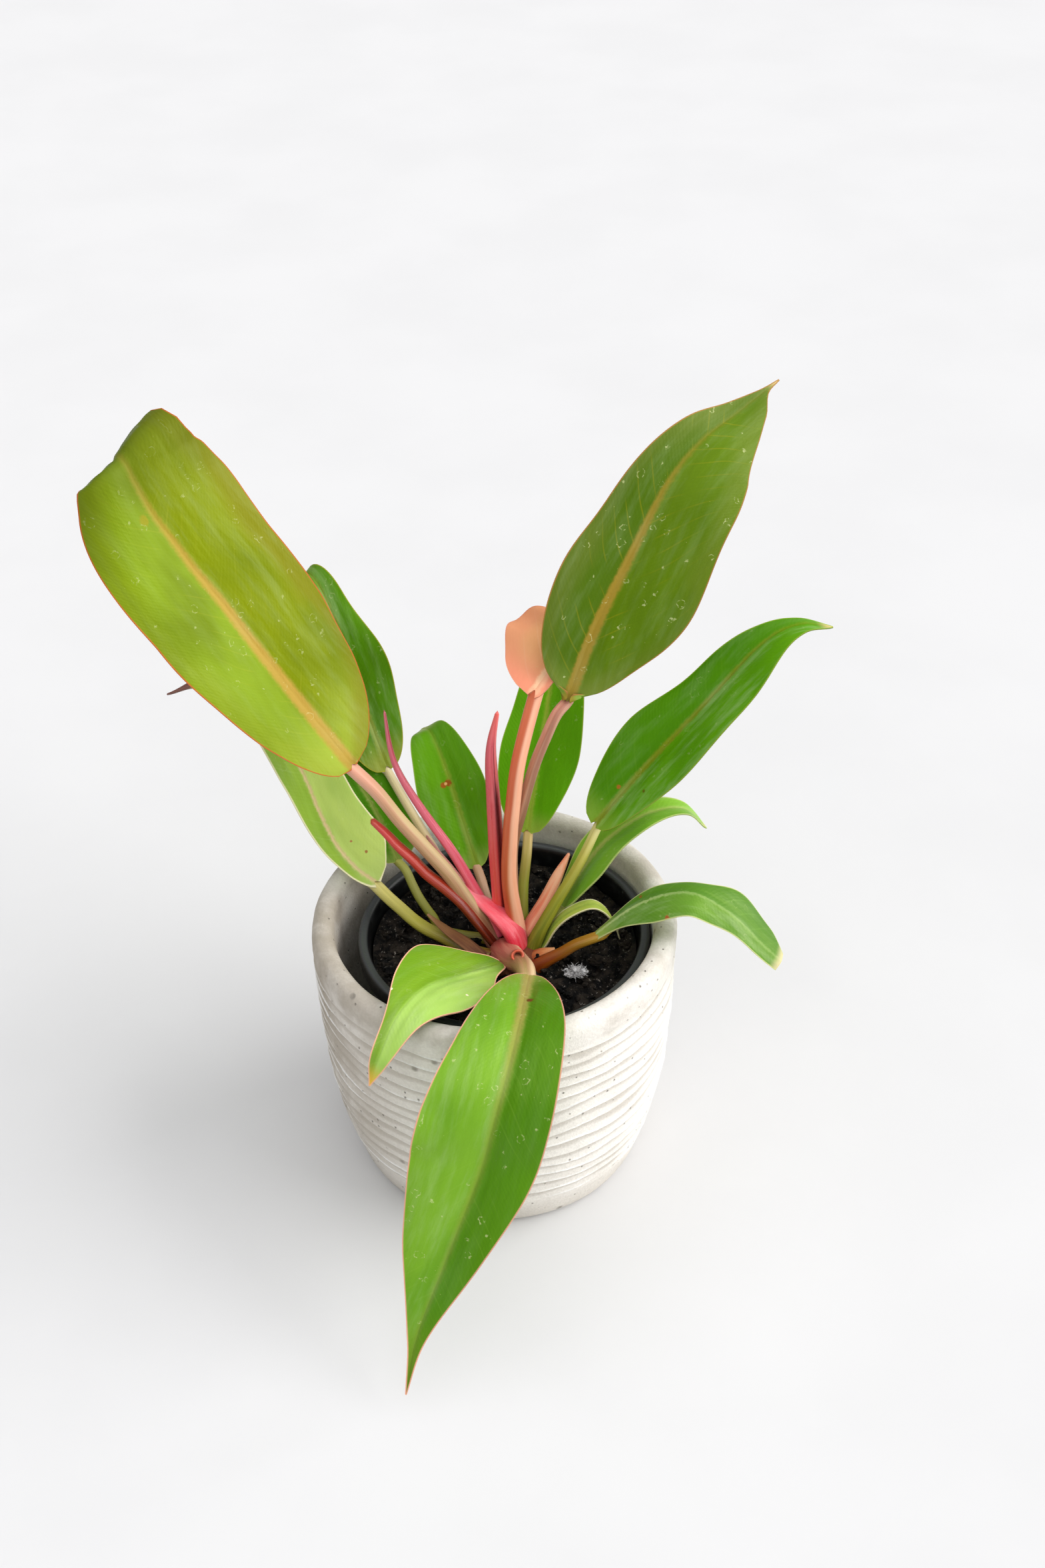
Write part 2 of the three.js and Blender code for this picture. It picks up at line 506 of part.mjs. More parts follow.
// Bark chips half sunk in the soil, by a seeded rule
function barkChips() {
  const draw = drawer(CHIP_SEED);
  return Array.from({ length: CHIP_COUNT }, () => {
    const turn = 2 * Math.PI * draw();
    const reach = THREE.MathUtils.lerp(...CHIP_REACH, Math.sqrt(draw()));
    const [x, y] = [LINER_AXIS[0] + reach * Math.cos(turn), LINER_AXIS[1] + reach * Math.sin(turn)];
    const chip = new THREE.IcosahedronGeometry(1, 0);
    chip.scale(...[CHIP_LENGTH, CHIP_WIDTH, CHIP_HEIGHT]
      .map((ends) => THREE.MathUtils.lerp(...ends, draw())));
    chip.rotateX(CHIP_TILT * draw());
    chip.rotateZ(2 * Math.PI * draw());
    chip.translate(x, y, SOIL_HEIGHT + soilHeightAt(x, y) + CHIP_LIFT);
    return chip;
  });
}

function crown(grow) {
  const [radius, top] = [CROWN_RADIUS + grow, CROWN_TOP + grow];
  const foot = CROWN_TOP - CROWN_DEPTH - grow;
  const section = CROWN_SECTION.map(([inset, depth]) => [radius - inset, top - depth]);
  const profile = [[0, foot], [radius - CROWN_FOOT_INSET, foot], ...section, [0, top + CROWN_DOME]];
  return turned(profile, CROWN_SIDES, CROWN_AXIS);
}

function fibreTuft(grow) {
  const geometry = new THREE.IcosahedronGeometry(1, 2);
  const position = geometry.getAttribute('position');
  for (let i = 0; i < position.count; i += 1) {
    const [x, y, z] = [position.getX(i), position.getY(i), position.getZ(i)];
    const swell = 1 + TUFT_SWELL * (Math.sin(5 * x + 3 * y) + Math.sin(6 * z - 4 * y));
    position.setXYZ(i, x * swell, y * swell, z * swell);
  }
  geometry.scale(...TUFT_HALF_SIZE.map((half) => half + grow));
  geometry.translate(...TUFT_CENTRE, SOIL_HEIGHT + TUFT_LIFT);
  return geometry;
}

// Solids for cutting and joining, and back to a geometry
function solidOf(geometry) {
  const plain = geometry.clone();
  plain.deleteAttribute('normal');
  plain.deleteAttribute('uv');
  const merged = mergeVertices(plain, 1e-4);
  return new wasm.Manifold(new wasm.Mesh({
    numProp: 3,
    vertProperties: new Float32Array(merged.getAttribute('position').array),
    triVerts: new Uint32Array(merged.getIndex().array),
  }));
}

function geometryFrom(solid) {
  const mesh = solid.getMesh();
  const geometry = new THREE.BufferGeometry();
  geometry.setAttribute('position', new THREE.BufferAttribute(mesh.vertProperties, 3));
  geometry.setIndex(new THREE.BufferAttribute(mesh.triVerts, 1));
  return geometry;
}

function largestOf(solid) {
  return solid.decompose().reduce((best, piece) => (piece.volume() > best.volume() ? piece : best));
}

function boxesMeet(a, b) {
  return [0, 1, 2].every((axis) => a.min[axis] <= b.max[axis] && b.min[axis] <= a.max[axis]);
}

// Pieces are added in order of rank: each is cut clear of the ones before it, and its largest part is kept
const plant = new THREE.Group();
const placed = [];

function add(name, colour, roughness, shape) {
  let solid = solidOf(shape(0));
  for (const earlier of placed) {
    if (boxesMeet(solid.boundingBox(), earlier.clear.boundingBox())) solid = solid.subtract(earlier.clear);
  }
  solid = largestOf(solid);
  placed.push({ name, clear: solidOf(shape(SEAT_GAP)) });
  const material = new THREE.MeshStandardMaterial({ color: colour, roughness, metalness: 0 });
  const mesh = new THREE.Mesh(geometryFrom(solid), material);
  mesh.name = name;
  plant.add(mesh);
}

function addWhole(name, colour, roughness, geometry) {
  const material = new THREE.MeshStandardMaterial({ color: colour, roughness, metalness: 0 });
  const mesh = new THREE.Mesh(geometryFrom(solidOf(geometry)), material);
  mesh.name = name;
  plant.add(mesh);
}

addWhole('cement_pot', 0xc9c5be, 0.9, cementPot());
addWhole('nursery_pot', 0x2a2c2e, 0.5, nurseryPot());
add('crown', 0x7a5a3a, 0.8, crown);

const soil = barkChips().reduce((bed, chip) => bed.add(solidOf(chip)), solidOf(soilBed()));
add('soil', 0x151210, 1, (grow) => geometryFrom(grow ? soil.translate([0, 0, grow]) : soil));
add('fibre_tuft', 0xc8c4bc, 1, fibreTuft);

const addSpear = (piece) => add(piece.name, piece.colour, STALK_ROUGHNESS, (grow) => spear(piece, grow));
addSpear(BASAL_SHEATH);
for (const leaf of LEAVES) {
  add(`${leaf.name}_stalk`, leaf.stalkColour, STALK_ROUGHNESS, (grow) => stalk(leaf, grow));
}
SPEARS.forEach(addSpear);
for (const leaf of [...LEAVES, STRAP]) {
  const name = leaf.stalk ? `${leaf.name}_blade` : leaf.name;
  add(name, leaf.colour, BLADE_ROUGHNESS, (grow) => blade(leaf, grow));
}

export default plant;
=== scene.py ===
"""Potted prince of orange philodendron: the visible pieces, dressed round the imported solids.

Shapes are given in millimetres, in the same frame as the solids, and each mesh is placed in metres.
Azimuth 0 points along +X, to the right, and 90 along +Y, away from the front.
"""

import json
import logging
import math
from contextlib import contextmanager
from dataclasses import dataclass
from enum import Enum
from typing import Callable, Iterator, Sequence

import bpy
import numpy as np
from mathutils import Matrix, Vector, noise

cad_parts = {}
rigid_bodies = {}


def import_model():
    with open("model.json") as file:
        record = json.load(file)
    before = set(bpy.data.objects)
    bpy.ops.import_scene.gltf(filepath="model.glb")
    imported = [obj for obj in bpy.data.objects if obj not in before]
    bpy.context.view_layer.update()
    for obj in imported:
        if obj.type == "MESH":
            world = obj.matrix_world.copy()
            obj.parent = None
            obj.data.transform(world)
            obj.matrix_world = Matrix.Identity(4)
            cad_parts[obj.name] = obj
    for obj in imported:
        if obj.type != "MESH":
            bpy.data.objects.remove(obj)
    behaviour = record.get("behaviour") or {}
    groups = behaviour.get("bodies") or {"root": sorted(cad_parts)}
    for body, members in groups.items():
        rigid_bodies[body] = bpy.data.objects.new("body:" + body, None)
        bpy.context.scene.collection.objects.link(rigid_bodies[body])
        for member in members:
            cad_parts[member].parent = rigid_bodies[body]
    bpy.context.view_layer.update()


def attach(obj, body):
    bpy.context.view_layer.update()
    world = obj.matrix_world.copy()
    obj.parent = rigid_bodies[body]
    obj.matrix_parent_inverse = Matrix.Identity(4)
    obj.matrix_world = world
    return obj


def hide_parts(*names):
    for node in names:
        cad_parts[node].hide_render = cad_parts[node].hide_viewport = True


MM = 0.001
FULL_TURN = 2 * math.pi
TUBE_SEAM, SPUN_SEAM, SLIVER = 1e-7, 1e-6, 1e-8
BODY = "root"
LOG = logging.getLogger("philodendron")

Array = np.ndarray
Piece = bpy.types.Object
Pair = tuple[float, float]
Triple = tuple[float, float, float]
Points = Sequence[Sequence[float]]


class Side(Enum):
    """Half of a blade, seen along its growth."""

    LEFT = 0
    RIGHT = 1


def smooth(low: float, high: float, value: Array) -> Array:
    """Smooth step from 0 at low to 1 at high."""
    share = np.clip((value - low) / (high - low), 0, 1)
    return share * share * (3 - 2 * share)


def through(stations: Sequence[float], values: Sequence[float], at: Array) -> Array:
    """Smooth curve through values at stations, with central slopes.

    Args:
        stations: Rising places of the values.
        values: Value at each station.
        at: Places to read.

    Returns:
        The curve's value at each place.
    """
    x, y, at = np.asarray(stations, float), np.asarray(values, float), np.asarray(at, float)
    last = len(x) - 1
    low, high = np.maximum(np.arange(last + 1) - 1, 0), np.minimum(np.arange(last + 1) + 1, last)
    slopes = (y[high] - y[low]) / (x[high] - x[low])
    i = np.clip(np.searchsorted(x, at, side="right") - 1, 0, last - 1)
    span = x[i + 1] - x[i]
    t = (at - x[i]) / span
    a, b, rise = slopes[i] * span, slopes[i + 1] * span, y[i + 1] - y[i]
    return y[i] + a * t + (3 * rise - 2 * a - b) * t**2 + (a + b - 2 * rise) * t**3


def rows_of(*columns: Array) -> Array:
    """Vectors from a column for each of their numbers."""
    return np.stack(columns, axis=-1)


def swell_at(points: Array, size: float, seed: float) -> Array:
    """Soft repeatable unevenness from about -1 to 1 at points, in swells of a size and a pattern of a seed."""
    return np.array([noise.noise(Vector(p) / size + Vector((seed, seed, seed))) for p in points])


class Spine:
    """Smooth line through points that grow out of a root, read by its share of length."""

    SAMPLES = 64
    TENSION = 0.5
    STEP = 0.004

    def __init__(self, points: Points, azimuth: float, root: Sequence[float]) -> None:
        """Places the points.

        Args:
            points: [out, height] or [out, height, aside] of each point.
            azimuth: Direction of growth in degrees.
            root: Where the growth starts, seen from above.
        """
        angle = math.radians(azimuth)
        self.out = np.array((math.cos(angle), math.sin(angle), 0.0))
        self.side = np.array((math.sin(angle), -math.cos(angle), 0.0))
        placed = []
        for reach, height, *aside in points:
            foot = np.array((root[0], root[1], height), float)
            placed.append(foot + reach * self.out + (aside[0] if aside else 0.0) * self.side)
        self.samples = self._samples(np.array(placed))
        steps = np.linalg.norm(np.diff(self.samples, axis=0), axis=1)
        self.lengths = np.concatenate(([0.0], np.cumsum(steps)))
        self.length = float(self.lengths[-1])

    def _samples(self, placed: Array) -> Array:
        """Finely spaced points of the curve through the placed points.

        Args:
            placed: The points that it goes through.

        Returns:
            The fine points.
        """
        ends = np.vstack((2 * placed[0] - placed[1], placed, 2 * placed[-1] - placed[-2]))
        t = np.linspace(0, 1, self.SAMPLES, endpoint=False)[:, None]
        parts = []
        for before, start, stop, after in zip(ends, ends[1:], ends[2:], ends[3:]):
            leave, arrive = self.TENSION * (stop - before), self.TENSION * (after - start)
            bend = 3 * (stop - start) - 2 * leave - arrive
            parts.append(start + leave * t + bend * t**2 + (leave + arrive - 2 * (stop - start)) * t**3)
        return np.vstack((*parts, placed[-1]))

    def at(self, share: Array) -> Array:
        """Points at shares of the length."""
        reach = np.clip(share, 0, 1) * self.length
        return rows_of(*(np.interp(reach, self.lengths, axis) for axis in self.samples.T))

    def frames(self, share: Array) -> tuple[Array, Array, Array, Array]:
        """Points and their directions.

        Args:
            share: Shares of the length.

        Returns:
            The points, and the directions along, across to the right, and up out of the surface.
        """
        along = self.at(np.minimum(share + self.STEP, 1)) - self.at(np.maximum(share - self.STEP, 0))
        along /= np.linalg.norm(along, axis=-1, keepdims=True)
        across = self.side - along * (along @ self.side)[..., None]
        across /= np.linalg.norm(across, axis=-1, keepdims=True)
        return self.at(share), along, across, np.cross(across, along)


def pick(*pieces: Piece) -> None:
    """Selects pieces alone.

    Args:
        *pieces: The pieces, of which the first becomes active.
    """
    bpy.ops.object.select_all(action="DESELECT")
    for piece in pieces:
        piece.select_set(True)
    bpy.context.view_layer.objects.active = pieces[0]


@contextmanager
def editing(piece: Piece) -> Iterator[None]:
    """Edit mode on one piece with all of it selected.

    Args:
        piece: Mesh object to edit.

    Yields:
        Nothing; the operators inside act on the piece.
    """
    pick(piece)
    bpy.ops.object.mode_set(mode="EDIT")
    bpy.ops.mesh.select_all(action="SELECT")
    try:
        yield
    finally:
        bpy.ops.object.mode_set(mode="OBJECT")


def coordinates(piece: Piece) -> Array:
    """The vertices of a mesh.

    Args:
        piece: Mesh object.

    Returns:
        A row for each, in metres.
    """
    flat = np.empty(len(piece.data.vertices) * 3)
    piece.data.vertices.foreach_get("co", flat)
    return flat.reshape(-1, 3)


def polar(piece: Piece, axis: Sequence[float] = (0, 0)) -> tuple[Array, Array, Array]:
    """The vertices of a mesh in millimetres, seen round an upright axis.

    Args:
        piece: Mesh object.
        axis: Where the axis stands.

    Returns:
        Each vertex, its distance from the axis and its angle round it.
    """
    flat = coordinates(piece) / MM
    x, y = flat[:, 0] - axis[0], flat[:, 1] - axis[1]
    return flat, np.hypot(x, y), np.arctan2(y, x)


def place(piece: Piece, points: Array) -> None:
    """Moves a mesh's vertices to points in millimetres."""
    piece.data.vertices.foreach_set("co", (np.asarray(points) * MM).ravel())
    piece.data.update()


def mark(piece: Piece, name: str, values: Array) -> None:
    """Stores a vector for each vertex, for the finishes to read."""
    attribute = piece.data.attributes.get(name) or piece.data.attributes.new(name, "FLOAT_VECTOR", "POINT")
    attribute.data.foreach_set("vector", np.asarray(values, np.float32).ravel())


def add_primitive(kind: str, name: str, **sizes: float) -> Piece:
    """Adds a primitive to shape.

    Args:
        kind: Blender's name of the primitive.
        name: The piece's name.
        **sizes: The primitive's own sizes.

    Returns:
        The new piece, the only one selected.
    """
    bpy.ops.object.select_all(action="DESELECT")
    getattr(bpy.ops.mesh, f"primitive_{kind}_add")(**sizes)
    piece = bpy.context.active_object
    piece.name = piece.data.name = name
    return piece


def add_grid(name: str, columns: int, rows: int) -> tuple[Piece, Array, Array]:
    """Adds a flat grid to shape.

    Args:
        name: The piece's name.
        columns: Faces across.
        rows: Faces along.

    Returns:
        The object, and each vertex's share across and along, from 0 to 1.
    """
    piece = add_primitive("grid", name, x_subdivisions=columns, y_subdivisions=rows, size=2)
    flat = coordinates(piece)
    return piece, (flat[:, 0] + 1) / 2, (flat[:, 1] + 1) / 2


def close_tube(piece: Piece) -> None:
    """Joins a wrapped grid's seam and poles, and turns its faces outwards.

    Args:
        piece: The wrapped grid.
    """
    with editing(piece):
        bpy.ops.mesh.remove_doubles(threshold=TUBE_SEAM)
        bpy.ops.mesh.dissolve_degenerate(threshold=SLIVER)
        bpy.ops.mesh.select_all(action="SELECT")
        bpy.ops.mesh.normals_make_consistent(inside=False)


def add_spun(name: str, profile: Points, steps: int, axis: Sequence[float] = (0, 0)) -> Piece:
    """Draws a profile by extruding a point and spins it about an upright axis.

    Args:
        name: The piece's name.
        profile: [radius, height] of each corner; a closed profile repeats its first.
        steps: Faces round the axis.
        axis: Where the axis stands.

    Returns:
        The spun piece, its faces outwards.
    """
    piece = add_primitive("plane", name, size=MM)
    corners = [Vector((axis[0] + radius, axis[1], height)) * MM for radius, height in profile]
    with editing(piece):
        bpy.ops.mesh.merge(type="CENTER")
        bpy.ops.transform.translate(value=corners[0])
        for start, stop in zip(corners, corners[1:]):
            bpy.ops.mesh.extrude_vertices_move(TRANSFORM_OT_translate={"value": stop - start})
        bpy.ops.mesh.select_all(action="SELECT")
        bpy.ops.mesh.spin(steps=steps, angle=FULL_TURN, center=Vector((*axis, 0)) * MM, axis=(0, 0, 1))
        bpy.ops.mesh.select_all(action="SELECT")
        bpy.ops.mesh.remove_doubles(threshold=SPUN_SEAM)
        bpy.ops.mesh.normals_make_consistent(inside=False)
    return piece


def join(*pieces: Piece) -> Piece:
    """Joins meshes.

    Args:
        *pieces: The meshes.

    Returns:
        The first of them, which now holds the rest.
    """
    pick(*pieces)
    bpy.ops.object.join()
    return pieces[0]


def hand_over(piece: Piece, finish: "Finish", slot: str, *nodes: str, angle: float = 60.0) -> None:
    """Dresses a finished piece and ties it to the part.

    Args:
        piece: The finished mesh.
        finish: What it is dressed in.
        slot: The record's material slot; not used.
        *nodes: The solids it stands for.
        angle: Edges sharper than this stay sharp, in degrees.
    """
    piece.data.materials.clear()
    piece.data.materials.append(finish.material(piece.name.removesuffix("_skin")))
    piece.data.polygons.foreach_set("material_index", [0] * len(piece.data.polygons))
    pick(piece)
    bpy.ops.object.shade_smooth_by_angle(angle=math.radians(angle))
    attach(piece, BODY)
    if nodes:
        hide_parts(*nodes)
    LOG.info("%s: %d faces", piece.name, len(piece.data.polygons))


def colour(code: str) -> tuple[float, float, float, float]:
    """Linear colour of six hexadecimal digits, with an alpha of 1."""
    parts = [int(code[i : i + 2], 16) / 255 for i in (0, 2, 4)]
    return (*(p / 12.92 if p <= 0.04045 else ((p + 0.055) / 1.055) ** 2.4 for p in parts), 1.0)


class Value:
    """A node's output. Arithmetic on it adds nodes to its tree."""

    def __init__(self, socket: bpy.types.NodeSocket) -> None:
        """Holds the output."""
        self.socket = socket
        self.shader = Shader(socket.id_data)

    def maths(self, operation: str, *terms: object) -> "Value":
        """Result of a Math node."""
        return self.shader.value("Math", (self, *terms), operation=operation)

    def __add__(self, other: object) -> "Value":
        """Sum."""
        return self.maths("ADD", other)

    def __sub__(self, other: object) -> "Value":
        """Difference."""
        return self.maths("SUBTRACT", other)

    def __mul__(self, other: object) -> "Value":
        """Product, of a vector if the other is three numbers."""
        kind = "VectorMath" if isinstance(other, tuple) else "Math"
        return self.shader.value(kind, (self, other), operation="MULTIPLY")

    def __truediv__(self, other: object) -> "Value":
        """Quotient."""
        return self.maths("DIVIDE", other)

    def __rtruediv__(self, other: object) -> "Value":
        """Another over this."""
        return self.shader.value("Math", (other, self), operation="DIVIDE")

    def __abs__(self) -> "Value":
        """Size without its sign."""
        return self.maths("ABSOLUTE")

    def step(self, low: object, high: object, start: object = 0.0, stop: object = 1.0) -> "Value":
        """Smooth step from start at low to stop at high."""
        return self.shader.value("MapRange", (self, low, high, start, stop), interpolation_type="SMOOTHSTEP")

    def fall(self, low: object, high: object) -> "Value":
        """Smooth step from 1 at low to 0 at high."""
        return self.step(low, high, 1.0, 0.0)

    def mix(self, first: object, second: object) -> "Value":
        """Colour that goes from the first to the second by this share."""
        feeds = {0: self, 6: first, 7: second}
        return Value(self.shader.node("Mix", feeds, data_type="RGBA", clamp_factor=True).outputs[2])

    def noise(self, scale: object, detail: float = 3.0, rough: float = 0.5) -> "Value":
        """Noise from 0 to 1 at this place."""
        return self.shader.value("TexNoise", {0: self, 2: scale, 3: detail, 4: rough})

    def distance(self, other: "Value") -> "Value":
        """How far this place is from another."""
        return Value(self.shader.node("VectorMath", (self, other), operation="DISTANCE").outputs["Value"])

    def cells(self, scale: object) -> "tuple[Value, Value]":
        """Distance from this place to the nearest cell's middle, and that cell's own colour."""
        node = self.shader.node("TexVoronoi", {"Vector": self, "Scale": scale})
        return Value(node.outputs["Distance"]), Value(node.outputs["Color"])

    def split(self) -> "tuple[Value, Value, Value]":
        """The three numbers of this vector."""
        return tuple(map(Value, self.shader.node("SeparateXYZ", (self,)).outputs))

    def ramp(self, stops: "Stops") -> "Value":
        """Colour along a row of stops, each a position and a colour code.

        Args:
            stops: The stops, from 0 to 1.

        Returns:
            The colour.
        """
        node = self.shader.node("ValToRGB", (self,))
        elements = node.color_ramp.elements
        for end in (0, -1):
            elements[end].position, elements[end].color = stops[end][0], colour(stops[end][1])
        for position, code in stops[1:-1]:
            elements.new(position).color = colour(code)
        return Value(node.outputs[0])

    def bump(self, depth: float, under: "Value | None" = None) -> "Value":
        """Normal of a relief from 0 to 1 over a depth in millimetres, on top of another."""
        below = {"Normal": under} if under else {}
        return self.shader.value("Bump", {"Distance": depth * MM, "Height": self, **below})


class Place(Value):
    """A vector output."""


Stops = tuple[tuple[float, str], ...]
Feeds = dict | Sequence[object]
Results = dict[str, Value]
Effect = Callable[..., Results]


class Shader:
    """Node tree of one material or one shared effect."""

    def __init__(self, tree: bpy.types.NodeTree) -> None:
        """Starts from an existing tree."""
        self.tree = tree

    def feed(self, node: bpy.types.Node, feeds: Feeds) -> None:
        """Links inputs to values, or sets them to constants or colour codes.

        Args:
            node: The node to feed.
            feeds: What goes in its inputs, in order or by their names or numbers.
        """
        for key, given in feeds.items() if isinstance(feeds, dict) else enumerate(feeds):
            if isinstance(given, Value):
                self.tree.links.new(given.socket, node.inputs[key])
            else:
                node.inputs[key].default_value = colour(given) if isinstance(given, str) else given

    def node(self, kind: str, feeds: Feeds = (), **settings: object) -> bpy.types.Node:
        """Adds a node.

        Args:
            kind: Blender's name of the node, less its first word.
            feeds: What goes in its inputs.
            **settings: The node's own settings.

        Returns:
            The node.
        """
        node = self.tree.nodes.new(f"ShaderNode{kind}")
        for key, value in settings.items():
            setattr(node, key, value)
        self.feed(node, feeds)
        return node

    def value(self, kind: str, feeds: Feeds = (), **settings: object) -> Value:
        """First output of a new node."""
        return Value(self.node(kind, feeds, **settings).outputs[0])

    def gather(self, x: object, y: object, z: object = 0.0) -> Value:
        """A vector of three numbers."""
        return self.value("CombineXYZ", (x, y, z))

    def read(self, name: str) -> Value:
        """Vector that a piece stores for each vertex."""
        return Value(self.node("Attribute", attribute_name=name).outputs["Vector"])

    def where(self) -> Value:
        """Place on the object in millimetres."""
        place_on = Value(self.node("TexCoord").outputs["Object"])
        return self.value("VectorMath", {0: place_on, "Scale": 1 / MM}, operation="SCALE")

    def use(self, effect: Effect, **values: object) -> Results:
        """Places a shared effect, whose node group is built the first time.

        Args:
            effect: The function that lays out the effect.
            **values: Its inputs.

        Returns:
            Its outputs by name.
        """
        group = bpy.data.node_groups.get(effect.__name__) or self._group(effect)
        node = self.node("Group", node_tree=group)
        self.feed(node, values)
        return {output.name: Value(output) for output in node.outputs}

    @staticmethod
    def _group(effect: Effect) -> bpy.types.NodeTree:
        """Builds an effect's node group.

        Args:
            effect: The function that lays it out, whose arguments are the group's inputs.

        Returns:
            The group.
        """
        tree = bpy.data.node_groups.new(effect.__name__, "ShaderNodeTree")
        kinds = {name: kind for name, kind in effect.__annotations__.items() if name != "return"}
        for name, kind in kinds.items():
            sort = "Vector" if kind is Place else "Float"
            tree.interface.new_socket(name, in_out="INPUT", socket_type=f"NodeSocket{sort}")
        entry = tree.nodes.new("NodeGroupInput")
        results = effect(**{name: Value(entry.outputs[name]) for name in kinds})
        for name in results:
            tree.interface.new_socket(name, in_out="OUTPUT", socket_type="NodeSocketFloat")
        Shader(tree).feed(tree.nodes.new("NodeGroupOutput"), results)
        return tree


def band(distance: Value, width: Value, softness: Value) -> Results:
    """A strip that is 1 where a distance is small, with a soft border."""
    return {"mask": abs(distance).fall(width - softness, width + softness)}


def side_veins(along: Value, across: Value, spacing: Value, slant: Value) -> Results:
    """Veins that leave the midrib and bend towards the tip, with the fine relief between them.

    Args:
        along: Place along the midrib.
        across: Place across it.
        spacing: From one vein to the next.
        slant: How far a vein runs on for each millimetre across.

    Returns:
        The veins' line and the relief's ripple.
    """
    off = abs(across)
    flat = along.shader.gather(along, across)
    row = along - (off * slant + off.maths("POWER", 2.0) * 0.012) + flat.noise(0.025, 1.0) * 9.0
    line = abs((row / spacing).maths("FRACT") - 0.5).fall(0.0, 0.07)
    patches = flat.noise(0.045, 1.0).step(0.4, 0.6)
    return {"line": line * patches, "ripple": (row * 3.1).maths("SINE") * 0.5 + 0.5}


def dried_drops(position: Place, size: Value) -> Results:
    """Rings that water drops leave when they dry, and small specks.

    Args:
        position: Place on the leaf.
        size: From one drop to the next.

    Returns:
        Where the rings and the specks are.
    """
    distance, tint = position.cells(1.0 / size)
    chance, girth, _ = tint.split()
    uneven = distance + (position.noise(0.55) * 0.5 - 0.25)
    ring = abs(uneven - (girth * 0.2 + 0.12)).fall(0.0, 0.05)
    ring = ring * chance.step(0.55, 0.62) * position.noise(0.7, 2.0).step(0.45, 0.6)
    near, hue = position.cells(0.4)
    return {"ring": ring, "speck": near.fall(0.0, 0.1) * hue.split()[1].step(0.76, 0.8)}


def blemish(position: Place, centre: Place, size: Value) -> Results:
    """An irregular spot of a size round a centre."""
    ragged = position.noise(0.9, 2.0) * 0.9 - 0.45
    return {"mask": (position.distance(centre) / size + ragged).fall(0.6, 1.15)}


def streaks(position: Place, width: Value) -> Results:
    """Streaks of a width that run lengthwise on a stalk, and fine grooves."""
    stretched, scale = position * (1.0, 1.0, 0.035), 1.0 / width
    return {"tone": stretched.noise(scale, 2.0).step(0.35, 0.68), "groove": stretched.noise(scale * 4.0, 2.0)}


def grain(position: Place, size: Value) -> Results:
    """Fine even grain of a size."""
    return {"height": position.noise(1.0 / size, 4.0, 0.6)}


def pits(position: Place, size: Value, amount: Value) -> Results:
    """Small open pits, as air bubbles leave in cast cement, in an amount from 0 to 1."""
    distance, tint = position.cells(1.0 / size)
    return {"mask": distance.fall(0.06, 0.24) * tint.split()[0].step(amount, amount - 0.03)}


@dataclass(frozen=True)
class Finish:
    """What dresses a piece. Each kind paints a Principled surface in its own way."""

    def paint(self, shader: Shader) -> dict[str, object]:
        """What the surface's inputs get from nodes added to a shader."""
        raise NotImplementedError

    def material(self, name: str) -> bpy.types.Material:
        """Builds the finish.

        Args:
            name: The material's name.

        Returns:
            The material.
        """
        material = bpy.data.materials.new(name)
        material.use_nodes = True
        material.node_tree.nodes.clear()
        shader = Shader(material.node_tree)
        surface = shader.node("BsdfPrincipled")
        shader.node("OutputMaterial", (Value(surface.outputs[0]),))
        shader.feed(surface, self.paint(shader))
        return material


@dataclass(frozen=True)
class Spot:
    """A mark on a blade: its place along and across, its size and colour."""

    along: float
    across: float
    size: float
    tone: str


